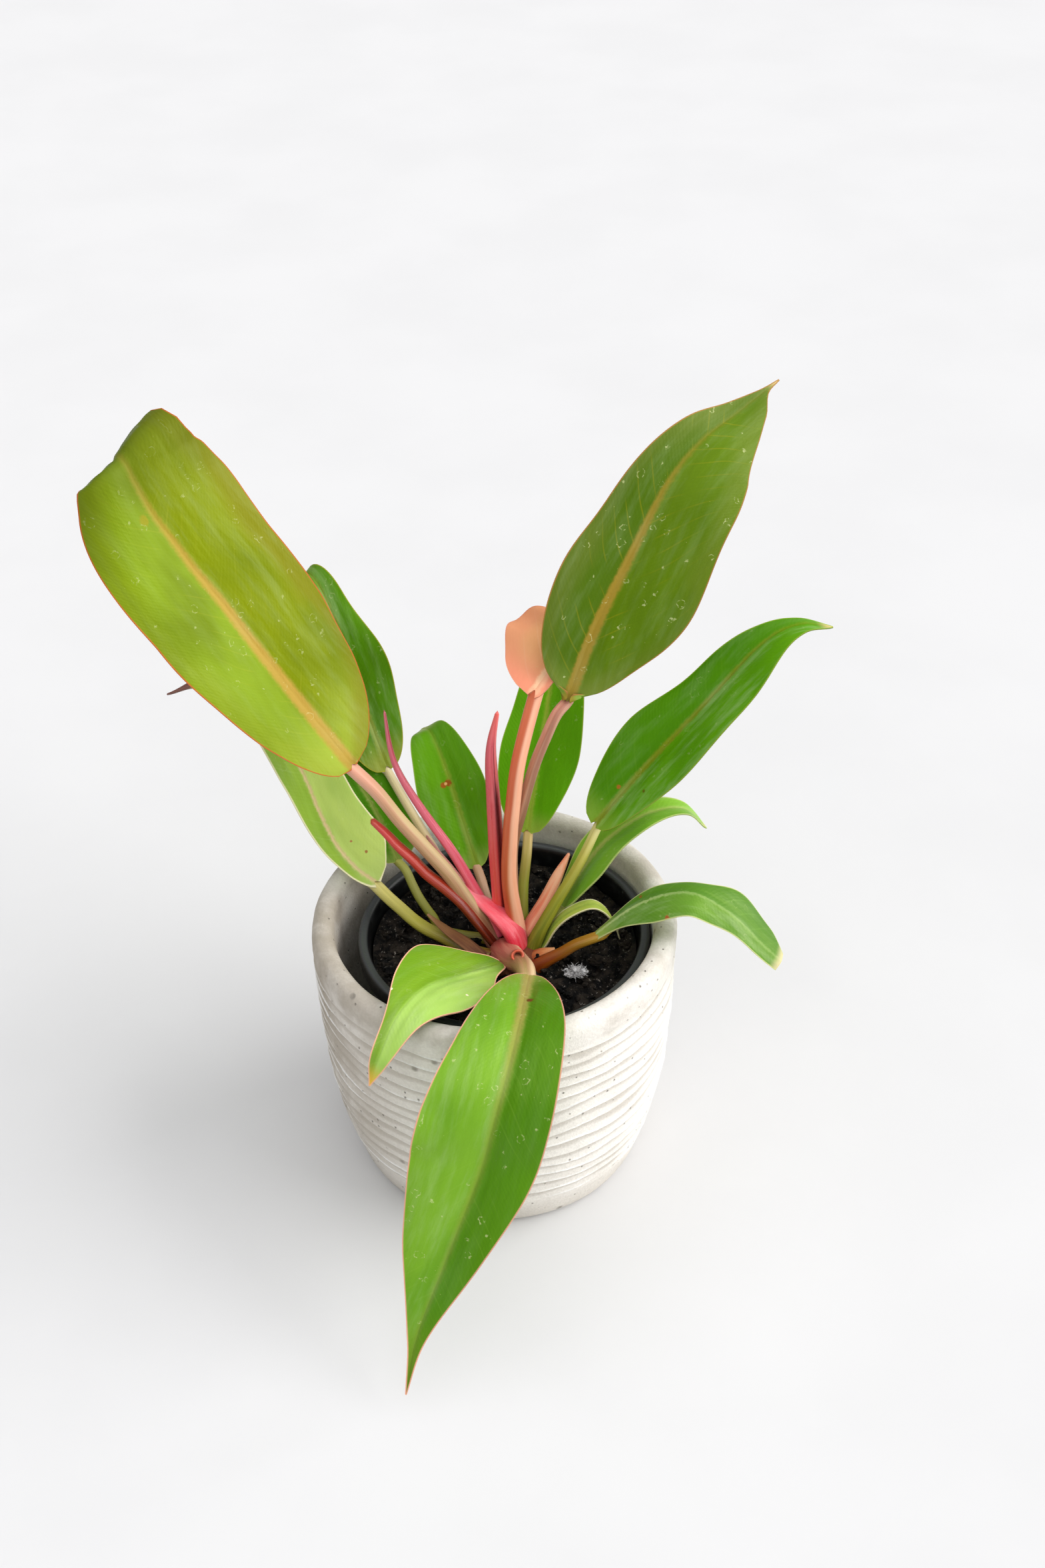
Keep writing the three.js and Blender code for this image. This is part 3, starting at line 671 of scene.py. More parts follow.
@dataclass(frozen=True)
class LeafFinish(Finish):
    """Waxy leaf surface: two halves whose colours are partly their own and partly painted light and shade, midrib,
    veins, edge, tip, marks and a painted sheen.
    """

    left: str
    right: str
    midrib: str
    midrib_half: Pair
    edge: str
    edge_width: float = 0.5
    tip: str = "8A9A20"
    tip_from: float = 0.86
    tip_full: float = 1.0
    base: str = "B8C84A"
    base_to: float = 0.1
    shade: str = "4E7A08"
    shade_amount: float = 0.5
    vein: str = "C8CC50"
    vein_amount: float = 0.14
    under: str = "8FB04A"
    drops: float = 0.16
    rough: float = 0.42
    gloss: float = 0.22
    sheen: str = "F0FF98"
    rib_soft: float = 0.8
    rib_from: float = 0.55
    rib_end: Pair = (1.0, 0.35)
    edge_to: float = 1.0
    flush: str = "B07020"
    flush_amount: Pair = (0.0, 0.0)
    bloom: Pair = (0.0, 0.0)
    spots: tuple[Spot, ...] = ()

    UPPER = 40.0
    VEIN_SPACING = 8.5
    VEIN_SLANT = 0.9
    DROP_SIZE = 5.5
    FILM, RING, SPECK = "C4D8A4", "D8DCA0", "D0D488"

    def paint(self, shader: Shader) -> dict[str, object]:
        """Paints the blade, from its halves up to its edge.

        Args:
            shader: The material's shader.

        Returns:
            What its surface gets.
        """
        along, across, edge = shader.read("leaf_mm").split()
        share, _, upper = shader.read("leaf_share").split()
        off, flat = abs(across), shader.gather(along, across, upper * self.UPPER)
        soft = (flat * (0.45, 1.0, 1.0)).noise(0.045)
        tone = soft.step(0.35, 0.7, 0.0, self.shade_amount)
        # The left and right colours are partly each half's own tone and partly painted light and shade: one half is
        # painted as lit, the other as shaded.
        body = tone.mix(across.step(-1.2, 1.2).mix(self.left, self.right), self.shade)
        drops = shader.use(dried_drops, position=flat, size=self.DROP_SIZE)
        veins = shader.use(
            side_veins, along=along, across=across, spacing=self.VEIN_SPACING, slant=self.VEIN_SLANT
        )
        body = (veins["line"] * off.step(3.0, 26.0, 1.0, 0.25) * self.vein_amount).mix(body, self.vein)
        body = share.step(0.0, self.base_to, 0.75, 0.0).mix(body, self.base)
        from_rib = off + flat.noise(0.6, 2.0).step(0.2, 0.8, -0.35, 0.35)
        half = share.step(0.0, 1.0, *self.midrib_half)
        rib = shader.use(band, distance=from_rib, width=half, softness=self.rib_soft)["mask"]
        last, left_over = self.rib_end
        body = (rib * share.step(self.rib_from, last, 0.9, left_over)).mix(body, self.midrib)
        # Colour near the edge: mostly the leaf's own tint; along the upper_right leaf's left edge it is a painted
        # sheen.
        near_edge = (edge + soft.step(0.3, 0.7, -4.0, 4.0)).fall(1.0, 12.0)
        body = (near_edge * across.step(-4.0, 4.0, *self.flush_amount)).mix(body, self.flush)
        # Painted sheen: pale streaks on one half stand for the gloss of the light on the wax.
        sheen_streaks = (flat * (0.16, 1.0, 1.0)).noise(0.22, 5.0, 0.65).step(0.42, 0.8)
        body = (sheen_streaks * across.step(-4.0, 4.0, *self.bloom)).mix(body, self.FILM)
        body = (drops["ring"] * self.drops).mix(body, self.RING)
        body = (drops["speck"] * self.drops).mix(body, self.SPECK)
        for spot in self.spots:
            centre = (spot.along, spot.across, self.UPPER)
            body = shader.use(blemish, position=flat, centre=centre, size=spot.size)["mask"].mix(body, spot.tone)
        under = (rib * 0.8).mix(tone.mix(self.under, self.shade), self.midrib)
        body = upper.step(0.3, 0.7).mix(under, body)
        body = share.step(self.tip_from, self.tip_full).mix(body, self.tip)
        rim = shader.use(band, distance=edge, width=self.edge_width, softness=0.25)["mask"]
        body = (rim * share.fall(self.edge_to, self.edge_to + 0.05)).mix(body, self.edge)
        relief = (flat * (0.3, 1.0, 1.0)).noise(0.35).bump(0.35, veins["ripple"].bump(0.022))
        return {
            "Base Color": body,
            "Roughness": soft.step(0.3, 0.75, self.rough - 0.06, self.rough + 0.1) + drops["ring"] * 0.15,
            "Normal": shader.use(grain, position=flat, size=0.7)["height"].bump(0.06, relief),
            "Specular IOR Level": self.gloss,
            "Specular Tint": self.sheen,
        }


@dataclass(frozen=True)
class StalkFinish(Finish):
    """Waxy stalk or rolled leaf: colours along it, a second colour to one side that is mostly a painted highlight,
    streaks and a seam.
    """

    stops: Stops
    streak: str
    streak_amount: float = 0.4
    flank: str = ""
    flank_amount: float = 0.0
    flank_span: Pair = (-0.5, 0.7)
    face: str = ""
    face_span: Pair = (0.08, 0.9)
    rough: float = 0.4
    gloss: float = 0.4
    coat: float = 0.05
    seam: str = ""

    def paint(self, shader: Shader) -> dict[str, object]:
        """Paints the stalk, from its colours along it up to its seam.

        Args:
            shader: The material's shader.

        Returns:
            What its surface gets.
        """
        where = shader.read("stalk_mm")
        share, side, seam = shader.read("stalk_share").split()
        body = share.ramp(self.stops)
        lines = shader.use(streaks, position=where, width=1.6)
        # The side colour is mostly a painted highlight on the side the light falls on; on a few stalks it is their
        # own colour.
        if self.flank:
            body = (side.step(*self.flank_span) * self.flank_amount).mix(body, self.flank)
        if self.face:
            low, high = self.face_span
            lit = share.step(low, low + 0.15) * share.fall(high - 0.2, high)
            body = (abs(side).step(0.3, 0.8, 0.6, 0.0) * lit).mix(body, self.face)
        body = (lines["tone"] * self.streak_amount).mix(body, self.streak)
        blotch = (where * (1.0, 1.0, 0.2)).noise(0.25)
        body = blotch.step(0.55, 0.75, 0.0, 0.25).mix(body, self.streak)
        if self.seam:
            line = shader.use(band, distance=seam, width=0.05, softness=0.03)["mask"]
            body = (line * share.step(0.62, 0.74, 0.85, 0.0)).mix(body, self.seam)
        relief = lines["groove"].bump(0.12)
        return {
            "Base Color": body,
            "Roughness": blotch.step(0.3, 0.7, self.rough - 0.05, self.rough + 0.08),
            "Normal": shader.use(grain, position=where, size=0.5)["height"].bump(0.05, relief),
            "Specular IOR Level": self.gloss,
            "Coat Weight": self.coat,
            "Coat Roughness": 0.22,
        }


@dataclass(frozen=True)
class CementFinish(Finish):
    """Cast cement: warm grey with faint stains, painted shade on its left side and in its grooves and pits, pale
    ridges that are painted highlights, and sandy grain.
    """

    body: str = "F5F1EA"
    stain: str = "ABA192"
    pale: str = "FAF9F7"
    dark: str = "8B857A"

    def paint(self, shader: Shader) -> dict[str, object]:
        """Paints the pot, from its stains and painted shade up to its sand.

        Args:
            shader: The material's shader.

        Returns:
            What its surface gets.
        """
        where = shader.where()
        side, _, height = where.split()
        ridge = shader.read("rib_mm").split()[0]
        cloud = where.noise(0.03, 5.0, 0.6)
        # Painted shade: the stain colour lies mostly on the pot's left, the side away from the light, in clouds that
        # are partly real stain.
        left_shade_and_stain = cloud.step(0.3, 0.62, 0.35, 1.0) * side.step(-76.0, -30.0, 1.0, 0.2)
        body = left_shade_and_stain.mix(self.body, self.stain)
        # Painted highlight: the crests of the ribs are painted pale.
        body = ridge.step(0.45, 0.95, 0.0, 0.9).mix(body, self.pale)
        # Painted shadow: the hollows under the ribs are painted darker.
        body = ridge.step(0.0, 0.12, 0.55, 0.0).mix(body, self.stain)
        body = (height.step(96.0, 116.0) * cloud.step(0.4, 0.6, 0.1, 0.6)).mix(body, self.stain)
        # Darker towards the bottom.
        body = height.step(4.0, 20.0, 0.35, 0.0).mix(body, self.stain)
        small, large = (
            shader.use(pits, position=where, size=size, amount=amount)["mask"]
            for size, amount in ((2.6, 0.16), (8.0, 0.1))
        )
        holes = small.maths("MAXIMUM", large)
        # Painted shade: the pits are painted darker inside.
        body = (holes * 0.75).mix(body, self.dark)
        sand = shader.use(grain, position=where, size=1.1)["height"]
        return {
            "Base Color": sand.step(0.35, 0.65, 0.12, 0.0).mix(body, self.dark),
            "Roughness": cloud.step(0.3, 0.7, 0.72, 0.9),
            "Normal": (holes * -1.0 + 1.0).bump(0.6, sand.bump(0.25)),
        }


@dataclass(frozen=True)
class PlasticFinish(Finish):
    """Thin black moulded plastic with dust and scuffs, and a painted highlight along the rim top."""

    body: str = "0B0C0D"
    dust: str = "505457"

    def paint(self, shader: Shader) -> dict[str, object]:
        """Paints the plastic, the dust on it and the painted highlight on its rim top.

        Args:
            shader: The material's shader.

        Returns:
            What its surface gets.
        """
        where = shader.where()
        x, y, height = where.split()
        ring = shader.gather(y.maths("ARCTAN2", x) * 6.0, 0.0, height * 2.5)
        scuff = ring.noise(1.4, 5.0, 0.7).step(0.55, 0.78)
        specks = shader.use(pits, position=where, size=3.0, amount=0.12)["mask"]
        wear_and_rim_highlight = where.noise(0.12, 4.0, 0.6).step(0.5, 0.75, 0.0, 0.22)
        # The pale band at the rim top is a painted highlight, partly dust.
        for other in (scuff * 0.3, specks * 0.5, height.step(109.6, 111.0, 0.0, 0.45)):
            wear_and_rim_highlight = wear_and_rim_highlight.maths("MAXIMUM", other)
        return {
            "Base Color": wear_and_rim_highlight.mix(self.body, self.dust),
            "Roughness": scuff.step(0.0, 1.0, 0.3, 0.55),
            "Normal": shader.use(grain, position=where, size=0.9)["height"].bump(0.08),
        }


@dataclass(frozen=True)
class EarthFinish(Finish):
    """Crumbly potting mix, bark, or any rough matt thing of three colours."""

    body: str
    second: str
    pale: str
    pale_amount: float
    crumb: float
    depth: float
    rough: float
    patches: float = 0.11

    def paint(self, shader: Shader) -> dict[str, object]:
        """Paints the patches and the grain on them.

        Args:
            shader: The material's shader.

        Returns:
            What its surface gets.
        """
        where = shader.where()
        fine = shader.use(grain, position=where, size=self.crumb)["height"]
        body = where.noise(self.patches, 4.0, 0.6).step(0.42, 0.62).mix(self.body, self.second)
        return {
            "Base Color": fine.step(0.6, 0.74, 0.0, self.pale_amount).mix(body, self.pale),
            "Roughness": fine.step(0.3, 0.7, self.rough - 0.15, self.rough),
            "Normal": fine.bump(self.depth),
            "Specular IOR Level": 0.15,
        }


@dataclass(frozen=True)
class FloorFinish(Finish):
    """Plain pale floor, barely clouded."""

    body: str = "DDDDDE"
    cloud: str = "DADADB"

    def paint(self, shader: Shader) -> dict[str, object]:
        """The floor's faint clouds."""
        clouds = shader.where().noise(0.008, 4.0).step(0.3, 0.7)
        return {"Base Color": clouds.mix(self.body, self.cloud), "Roughness": 0.8}


@dataclass(frozen=True)
class LeafShape:
    """One leaf: its stalk and midrib as [out, height, aside] points, its half widths and turns, and its skins.

    half holds the half widths, left then right, at a tenth, three, five, seven and nine tenths.
    fold lifts each half out of flat and roll turns the blade about its midrib, in degrees.
    """

    name: str
    azimuth: float
    midrib: Points
    half: Points
    fold: Pair
    skin: LeafFinish
    roll: float = 0.0
    stalk: Points = ()
    stalk_radius: Pair = (2.3, 1.9)
    root: Pair = (8, -1)
    twist: float = 0.0
    lobe: float = 2
    wave: float = 0.8
    waves: float = 2.4
    curl: Pair | None = None
    tip_turn: Pair = (0.0, 0.0)
    tip_flatten: float = 0.0
    tip_half: float = 0.35
    tip_droop: Pair = (0.0, 0.0)
    neck: Pair | None = None
    buckle: float = 0.7
    pleat: float = 0.15
    slot: str = "leaf_green"
    stalk_skin: StalkFinish | None = None
    stalk_slot: str = "stalk_olive"


@dataclass(frozen=True)
class SheathShape:
    """A rolled leaf or sheath: its path, half width across and half thickness along it, and its skin."""

    name: str
    azimuth: float
    root: Pair
    path: Points
    wide: tuple[float, ...]
    thick: tuple[float, ...]
    skin: StalkFinish
    slot: str = "sheath_crimson"
    seam: float = -60.0
    lap: float = 0.16


LEAVES = (
    LeafShape(
        "upper_left", 168, stalk_radius=(3.2, 3),
        stalk=((7, 101), (9, 105), (13, 114), (20, 126), (27, 138), (36, 150), (46, 163), (55, 176.5), (64, 188)),
        midrib=((64, 188), (77, 207), (89, 225), (100, 242), (110, 258), (119, 271), (127, 284), (134, 296),
            (139, 307, 0.5), (142, 314, 1.5), (145.5, 316, 4), (149, 312, 7.5), (153, 295, 15)),
        half=((19, 31, 33, 31, 11), (24, 35, 34, 36.5, 21)), fold=(18, 14), roll=32, curl=(0.825, 0.925),
            tip_turn=(0, -75), tip_droop=(35, 0), tip_flatten=0.3, lobe=1.5, wave=1.6, pleat=0.85,
        slot="leaf_olive", skin=LeafFinish("7B9513", "7B8904", "B48D3D", (2.9, 1.0), edge="B45D2A", edge_width=0.45,
            # The dark tip colour from 0.62 is painted shade where the blade curls over.
            tip="546309", tip_from=0.62, base="A4B640", base_to=0.22, shade="5A6C02", shade_amount=0.65,
            vein="ACAA2D", vein_amount=0.16, drops=0.34, gloss=0.26, bloom=(0.05, 0.1), rib_soft=1.3, rib_from=0.4,
            flush="736405", flush_amount=(0.15, 0.5), spots=(Spot(128, -5, 2.4, "918B18"),)),
        stalk_slot="stalk_salmon", stalk_skin=StalkFinish(((0, "8E4838"), (0.2, "9A6446"), (0.45, "AA8258"),
            (0.75, "BE906C"), (1, "E09C86")), "D8B090", 0.4, "B88860", 0.4, face="CEC48C"),
    ),
    LeafShape(
        "upper_right", 42, stalk_radius=(2.6, 2.3),
        stalk=((4, 102, -5.5), (5, 110, -6), (6, 130, -7), (7, 149, -7), (10.3, 165, -5.2), (15.8, 186, -3),
            (21.3, 199, -1.4), (26, 207, -0.7), (31, 211)),
        midrib=((31, 211), (46, 238), (66, 264), (84, 286), (102, 298), (122, 303), (147, 309)),
        half=((17.5, 22.5, 19, 11.5, 3.5), (18.5, 31.5, 31, 25.5, 8.5)), fold=(32, 10), roll=-32, lobe=-4, wave=1.2,
            neck=(1.5, 1.8), pleat=0.3,
        slot="leaf_dark", skin=LeafFinish("456506", "557401", "9B7C2B", (2.5, 0.35), edge="9F6F3B", edge_width=0.4,
            tip="DBBC85", tip_from=0.95, base="7C8F3B", base_to=0.12, shade="426102", shade_amount=0.6,
            vein="9F9214", vein_amount=0.3, drops=0.5, gloss=0.3, bloom=(0.1, 0.08), rib_soft=1.0, rib_from=0.35,
            # The edge colour is a painted sheen along the left edge and the leaf's own olive-brown along the right.
            rib_end=(0.85, 0.2), flush="6A7430", flush_amount=(0.4, 0.3)),
        stalk_slot="stalk_brown", stalk_skin=StalkFinish(((0, "8E6A3C"), (0.5, "A07456"), (0.85, "C0806A"),
            (1, "CC8470")), "E0B498", 0.5, "7C523C", 0.5, flank_span=(0.0, 0.6)),
    ),
    LeafShape(
        "peach", 50, root=(5, 6), stalk_radius=(3.4, 3),
        stalk=((-2, 102, 7), (-1, 107, 6.5), (-1, 113, 6), (-1, 135, 3), (1, 157, 2.5), (3, 170, 2.5), (8, 190, 2),
            (20, 216, 1)),
        midrib=((20, 216, 1), (34, 223, 0.5), (48, 229), (61, 235), (75, 240), (88, 243)),
        half=((18, 23.5, 12, 6, 2), (5, 10, 10, 7, 3)), fold=(22, 22), roll=-12, lobe=3, wave=-2.5, waves=5.4,
        slot="leaf_peach", skin=LeafFinish("F0B07C", "EDAC86", "F6C8A0", (2.0, 0.8), edge="E89878", edge_width=0.4,
            tip="EFA080", base="EC8C74", base_to=0.2, shade="E4905E", shade_amount=0.5, vein="F8D0B0",
            vein_amount=0.2, under="EFB490", drops=0.08, gloss=0.3, sheen="FFD8B8", flush="EC8E70",
            flush_amount=(0.45, 0.3)),
        # The pale side colour of the stalk is a painted highlight.
        stalk_slot="stalk_salmon", stalk_skin=StalkFinish(((0, "D0484A"), (0.12, "CC5838"), (0.6, "CC5A30"),
            (1, "E07454")), "E08458", 0.3, "F6BC9C", 0.85, flank_span=(0.3, 0.75)),
    ),
    LeafShape(
        "right_middle", 20, stalk_radius=(3.1, 2.0),
        stalk=((6, 102, 4), (10, 111, 4), (17, 122, 3), (24, 132, 2), (30, 142, 1.5), (37, 157)),
        midrib=((37, 157), (58, 179), (82, 202), (106, 225), (122, 231), (138, 226)),
        half=((13, 17.5, 13.5, 9, 2.5), (13, 19, 19, 15, 5)), fold=(35, 28), roll=-20, wave=1,
        skin=LeafFinish("498603", "589604", "7A8618", (1.5, 0.6), edge="87A332", edge_width=0.3,
            tip="D1BC82", tip_from=0.93, base="84A939", shade="387302", shade_amount=0.7, vein="78A92A",
            vein_amount=0.1, bloom=(0.12, 0.3), spots=(Spot(17, -3, 1.0, "A36523"), Spot(24, 9, 0.8, "57600D"))),
        stalk_skin=StalkFinish(((0, "4E5808"), (0.4, "868A1C"), (0.75, "C4BC58"),
            (1, "ECE0A0")), "B0AC3C", 0.35),
    ),
    LeafShape(
        "right_lower", 14, root=(7, 4), stalk_radius=(2.3, 2),
        stalk=((10, 101, 6.5), (14, 107, 5.5), (17, 111, 3.5), (22, 118)),
        midrib=((22, 118), (33, 136), (44, 148), (59, 156), (74, 155), (84, 143)),
        half=((6, 9, 9, 6, 3), (9, 12.5, 10.5, 5.5, 3)), fold=(20, 20), roll=-8,
        slot="leaf_fresh", skin=LeafFinish("84BA34", "70A626", "A8B860", (1.4, 0.6), edge="B8CC78", tip="C8B060",
            tip_from=0.94, base="8CBC48", shade="58941C", vein="98C450", gloss=0.4, bloom=(0.2, 0.1)),
        stalk_skin=StalkFinish(((0, "70741C"), (1, "A0AC48")), "A8AC58", 0.3),
    ),
    LeafShape(
        "right_low", -5, root=(12, -10), stalk_radius=(3, 2.3),
        stalk=((4, 101, 3), (10, 106, 3), (16, 110, 2.5), (22, 114, 1.5), (30, 119)),
        midrib=((30, 119), (42, 131), (52, 138), (62, 141.5), (70, 141), (78, 136), (87, 128), (96, 117),
            (105, 107)),
        half=((4, 6.5, 8, 14, 11), (3.8, 9.5, 10, 6, 5)), fold=(0, -10), roll=-6, twist=-20, lobe=5, tip_half=4.2,
        slot="leaf_fresh", skin=LeafFinish("4E7E1D", "598826", "ACC17E", (0.6, 0.5), edge="BFC486", edge_width=0.4,
            tip="CEC495", tip_from=0.95, base="A0B551", base_to=0.14, shade="3F7116", vein="7EAE42", gloss=0.45,
            bloom=(0.1, 0.3), rib_soft=0.4, rib_from=0.1, rib_end=(0.55, 0.25), spots=(Spot(34, 9.5, 1.3, "A0552C"),
            Spot(24, -4, 0.8, "83551D"))),
        stalk_skin=StalkFinish(((0, "752609"), (0.35, "7F3707"), (0.7, "8C650E"),
            (1, "B38E2F")), "9E5D0E", 0.35),
    ),
    LeafShape(
        "left_back", 134,
        stalk=((7, 101), (20, 106), (36, 115), (44, 124), (53, 133), (65, 145), (75, 157)),
        midrib=((75, 157), (85, 178), (93, 199), (102, 218), (111, 231), (118, 233), (123, 225)),
        half=((12, 18, 18, 14, 8), (11, 15, 14, 9, 5)), fold=(22, 22), roll=12, wave=1,
        skin=LeafFinish("437A02", "497E02", "7B8822", (1.5, 0.6), edge="9D9B2F", edge_width=0.35,
            base="999F43", base_to=0.16, shade="355B02", shade_amount=0.6, vein="6A8D1C", drops=0.25,
            bloom=(0.3, 0.2)),
        stalk_slot="stalk_cream", stalk_skin=StalkFinish(((0, "A87048"), (0.4, "B89468"), (0.7, "D0BC88"),
            (1, "DCD0A0")), "94803C", 0.35, "ECDCC0", 0.4),
    ),
    LeafShape(
        "left", 152, root=(1, -10), stalk_radius=(3.0, 2.7),
        stalk=((2, 103), (14, 103.5), (25, 106), (33, 107.5), (39, 110), (45, 114), (51, 118), (57, 124)),
        midrib=((57, 124), (64, 127), (70, 132), (75, 138), (79, 146), (83, 156), (88, 170), (96, 184), (110, 197),
            (131, 202), (152, 190)),
        half=((5, 9, 10, 6, 1.6), (19, 17, 12, 8, 1.6)), fold=(16, 16), roll=24, wave=0.6,
        slot="leaf_pale", skin=LeafFinish("96BA40", "BCD46C", "DCBE94", (0.8, 0.5), edge="ECE6BC", edge_width=0.6,
            tip="7C4A44", tip_from=0.84, tip_full=0.9, edge_to=0.84, base="B4CC70", shade="74A238", vein="B4D078",
            gloss=0.35, bloom=(0.15, 0.1), spots=(Spot(12, 8, 0.8, "A07040"), Spot(20, 6, 0.6, "B08050"))),
        stalk_skin=StalkFinish(((0, "5C2C14"), (0.3, "846A1C"), (0.6, "BCB448"),
            (0.9, "DCD078"), (1, "F0E4A4")), "A0A030", 0.35),
    ),
    LeafShape(
        "left_inner", 142,
        stalk=((6, 102), (28, 103.5, -10), (37, 106, -8), (45, 110, -6), (50, 114, -4.5), (55, 119, -3),
            (60, 122, -2.5)),
        midrib=((60, 122, -2.5), (69, 134), (76, 145), (83, 154), (90, 166), (100, 176)),
        half=((9, 12, 12, 9, 4), (12, 12, 11, 8, 4)), fold=(16, 16), roll=20, lobe=1, wave=0.6,
        skin=LeafFinish("458805", "4D8F0F", "859744", (1.2, 0.6), edge="A3AE5B", edge_width=0.35,
            base="879F4C", shade="366D04", vein="669F35"),
        stalk_skin=StalkFinish(((0, "6E5418"), (0.5, "7E8020"), (1, "B0B058")), "9A9A3C",
            0.4),
    ),
    LeafShape(
        "centre_back", 116,
        stalk=((8, 102, -3), (21, 116, -2.5), (27, 119.5, -1.5), (35, 121)),
        midrib=((35, 121), (47, 135), (58, 149), (68, 158), (77, 163), (85, 160)),
        half=((8, 13, 15, 13, 8), (8, 13, 14, 12, 7)), fold=(18, 18), roll=14, lobe=1.5,
        skin=LeafFinish("5A9807", "4E8904", "789326", (1.5, 0.8), edge="94AC4C", edge_width=0.3,
            base="8CA84C", base_to=0.14, shade="3E7A03", vein="75A42D", bloom=(0.15, 0.05),
            spots=(Spot(36, -3.4, 1.4, "964C13"), Spot(36.4, -1, 1.6, "8A4611"), Spot(36.3, -2.2, 0.7, "DAA86B"))),
        stalk_slot="stalk_brown", stalk_skin=StalkFinish(((0, "7A5A20"), (0.5, "94744C"), (1, "C89478")), "D0AC90",
            0.5),
    ),
    LeafShape(
        "back", 75, stalk_radius=(2.4, 2),
        stalk=((7, 102, 2), (11, 110, 1), (17, 122), (23, 133), (31, 140, -1.5)),
        midrib=((31, 140, -1.5), (44, 158, -1), (57, 177), (71, 193), (86, 207), (100, 214)),
        half=((13, 16.5, 14, 10, 4), (11, 17, 16, 12, 5)), fold=(16, 16), lobe=1.5,
        skin=LeafFinish("5AA406", "589E06", "8DA835", (1.4, 0.6), edge="9CB343", edge_width=0.3,
            base="94AF43", shade="448503", vein="75AC2E"),
        stalk_skin=StalkFinish(((0, "5A6C10"), (0.5, "889430"), (1, "C8A468")), "B8B050",
            0.35),
    ),
    LeafShape(
        "front", -100, root=(16, -6), stalk_radius=(7.2, 3.4),
        stalk=((2, 103, 11), (5, 105, 10), (11, 107, 5), (18, 110, 0.5), (24, 112, -2)),
        midrib=((24, 112, -2), (50, 124, -4.5), (72, 127, -5.5), (92, 120, -4), (103, 107, -1), (109, 93, 2),
            (115, 82, 5.5), (129, 55, 15), (144, 30, 23.5), (156, 11, 26)),
        half=((12, 20, 21, 13.5, 3.5), (11, 22.5, 28.5, 19.5, 3)), fold=(20, 20), roll=4, wave=1.2,
        slot="leaf_fresh", skin=LeafFinish("4A8004", "6FA124", "A79950", (2.3, 0.6), edge="DE9D87", edge_width=0.45,
            # The darker tip colour is painted shade in the fold near the tip.
            tip="53730D", tip_from=0.8, base="90A54C", base_to=0.08, shade="3C7704", shade_amount=0.5, vein="8CB044",
            vein_amount=0.14, drops=0.5, rough=0.38, gloss=0.45, bloom=(0.04, 0.16), rib_soft=1.4, rib_from=0.08,
            rib_end=(0.5, 0.22), spots=(Spot(31, -2.5, 1.5, "673711"), Spot(29, -23.5, 1.0, "862E1E"),
            Spot(34, -24.2, 0.9, "862E1E"))),
        stalk_slot="stalk_brown", stalk_skin=StalkFinish(((0, "9A3C38"), (0.3, "9E5244"), (0.6, "8E6644"),
            (0.85, "A89058"), (1, "D0BC84")), "C08068", 0.35, "ECCCA4", 0.7, flank_span=(-0.1, -0.7)),
    ),
    LeafShape(
        "front_left", -130, root=(4, -8), stalk_radius=(2.4, 2),
        stalk=((0, 105, -3), (8, 107, -4)),
        midrib=((8, 107, -4), (27, 115, -3), (49, 123, -2), (69, 125, -5), (83, 115, -7), (89, 102, -6)),
        half=((7, 19, 19, 11, 4), (9, 20, 13, 5, 3)), fold=(22, 14), roll=14,
        # The dark midrib colour and the darker base are painted shadow in the fold near the stalk.
        slot="leaf_fresh", skin=LeafFinish("AFD766", "76A020", "68911C", (1.3, 0.5), edge="F4B699", edge_width=0.45,
            tip="ECB640", tip_from=0.88, base="558521", base_to=0.2, shade="528913", shade_amount=0.6, vein="A8D364",
            rough=0.36, gloss=0.5, bloom=(0.3, 0.1), rib_soft=1.0, rib_from=0.1, rib_end=(0.4, 0.05),
            spots=(Spot(57, 9, 0.8, "FCF8D8"), Spot(36, -14, 0.7, "F4F0C6"))),
        stalk_skin=StalkFinish(((0, "7A6A20"), (1, "88983C")), "8E9A38", 0.3),
    ),
)
STRAP = LeafShape(
    "strap_leaf", 8, root=(14, -6),
    midrib=((5, 103, -2), (7, 106, -2.5), (11, 114, -2.5), (17, 120, -2.5), (26, 123.5, -2.5), (32, 120, -2.5),
        (36, 113, -1), (38, 106.5, 1.5)),
    half=((3, 3.5, 3.5, 3, 2), (3, 3, 3, 3, 2)), fold=(15, 15), buckle=0.1, lobe=0, wave=0,
    slot="leaf_pale", skin=LeafFinish("B7C159", "A6B54A", "8DA242", (0.8, 0.5), edge="DDD7AB", edge_width=0.5,
        tip="DDCCA4", base="95AA51", shade="7E973B", drops=0.1, gloss=0.35),
)
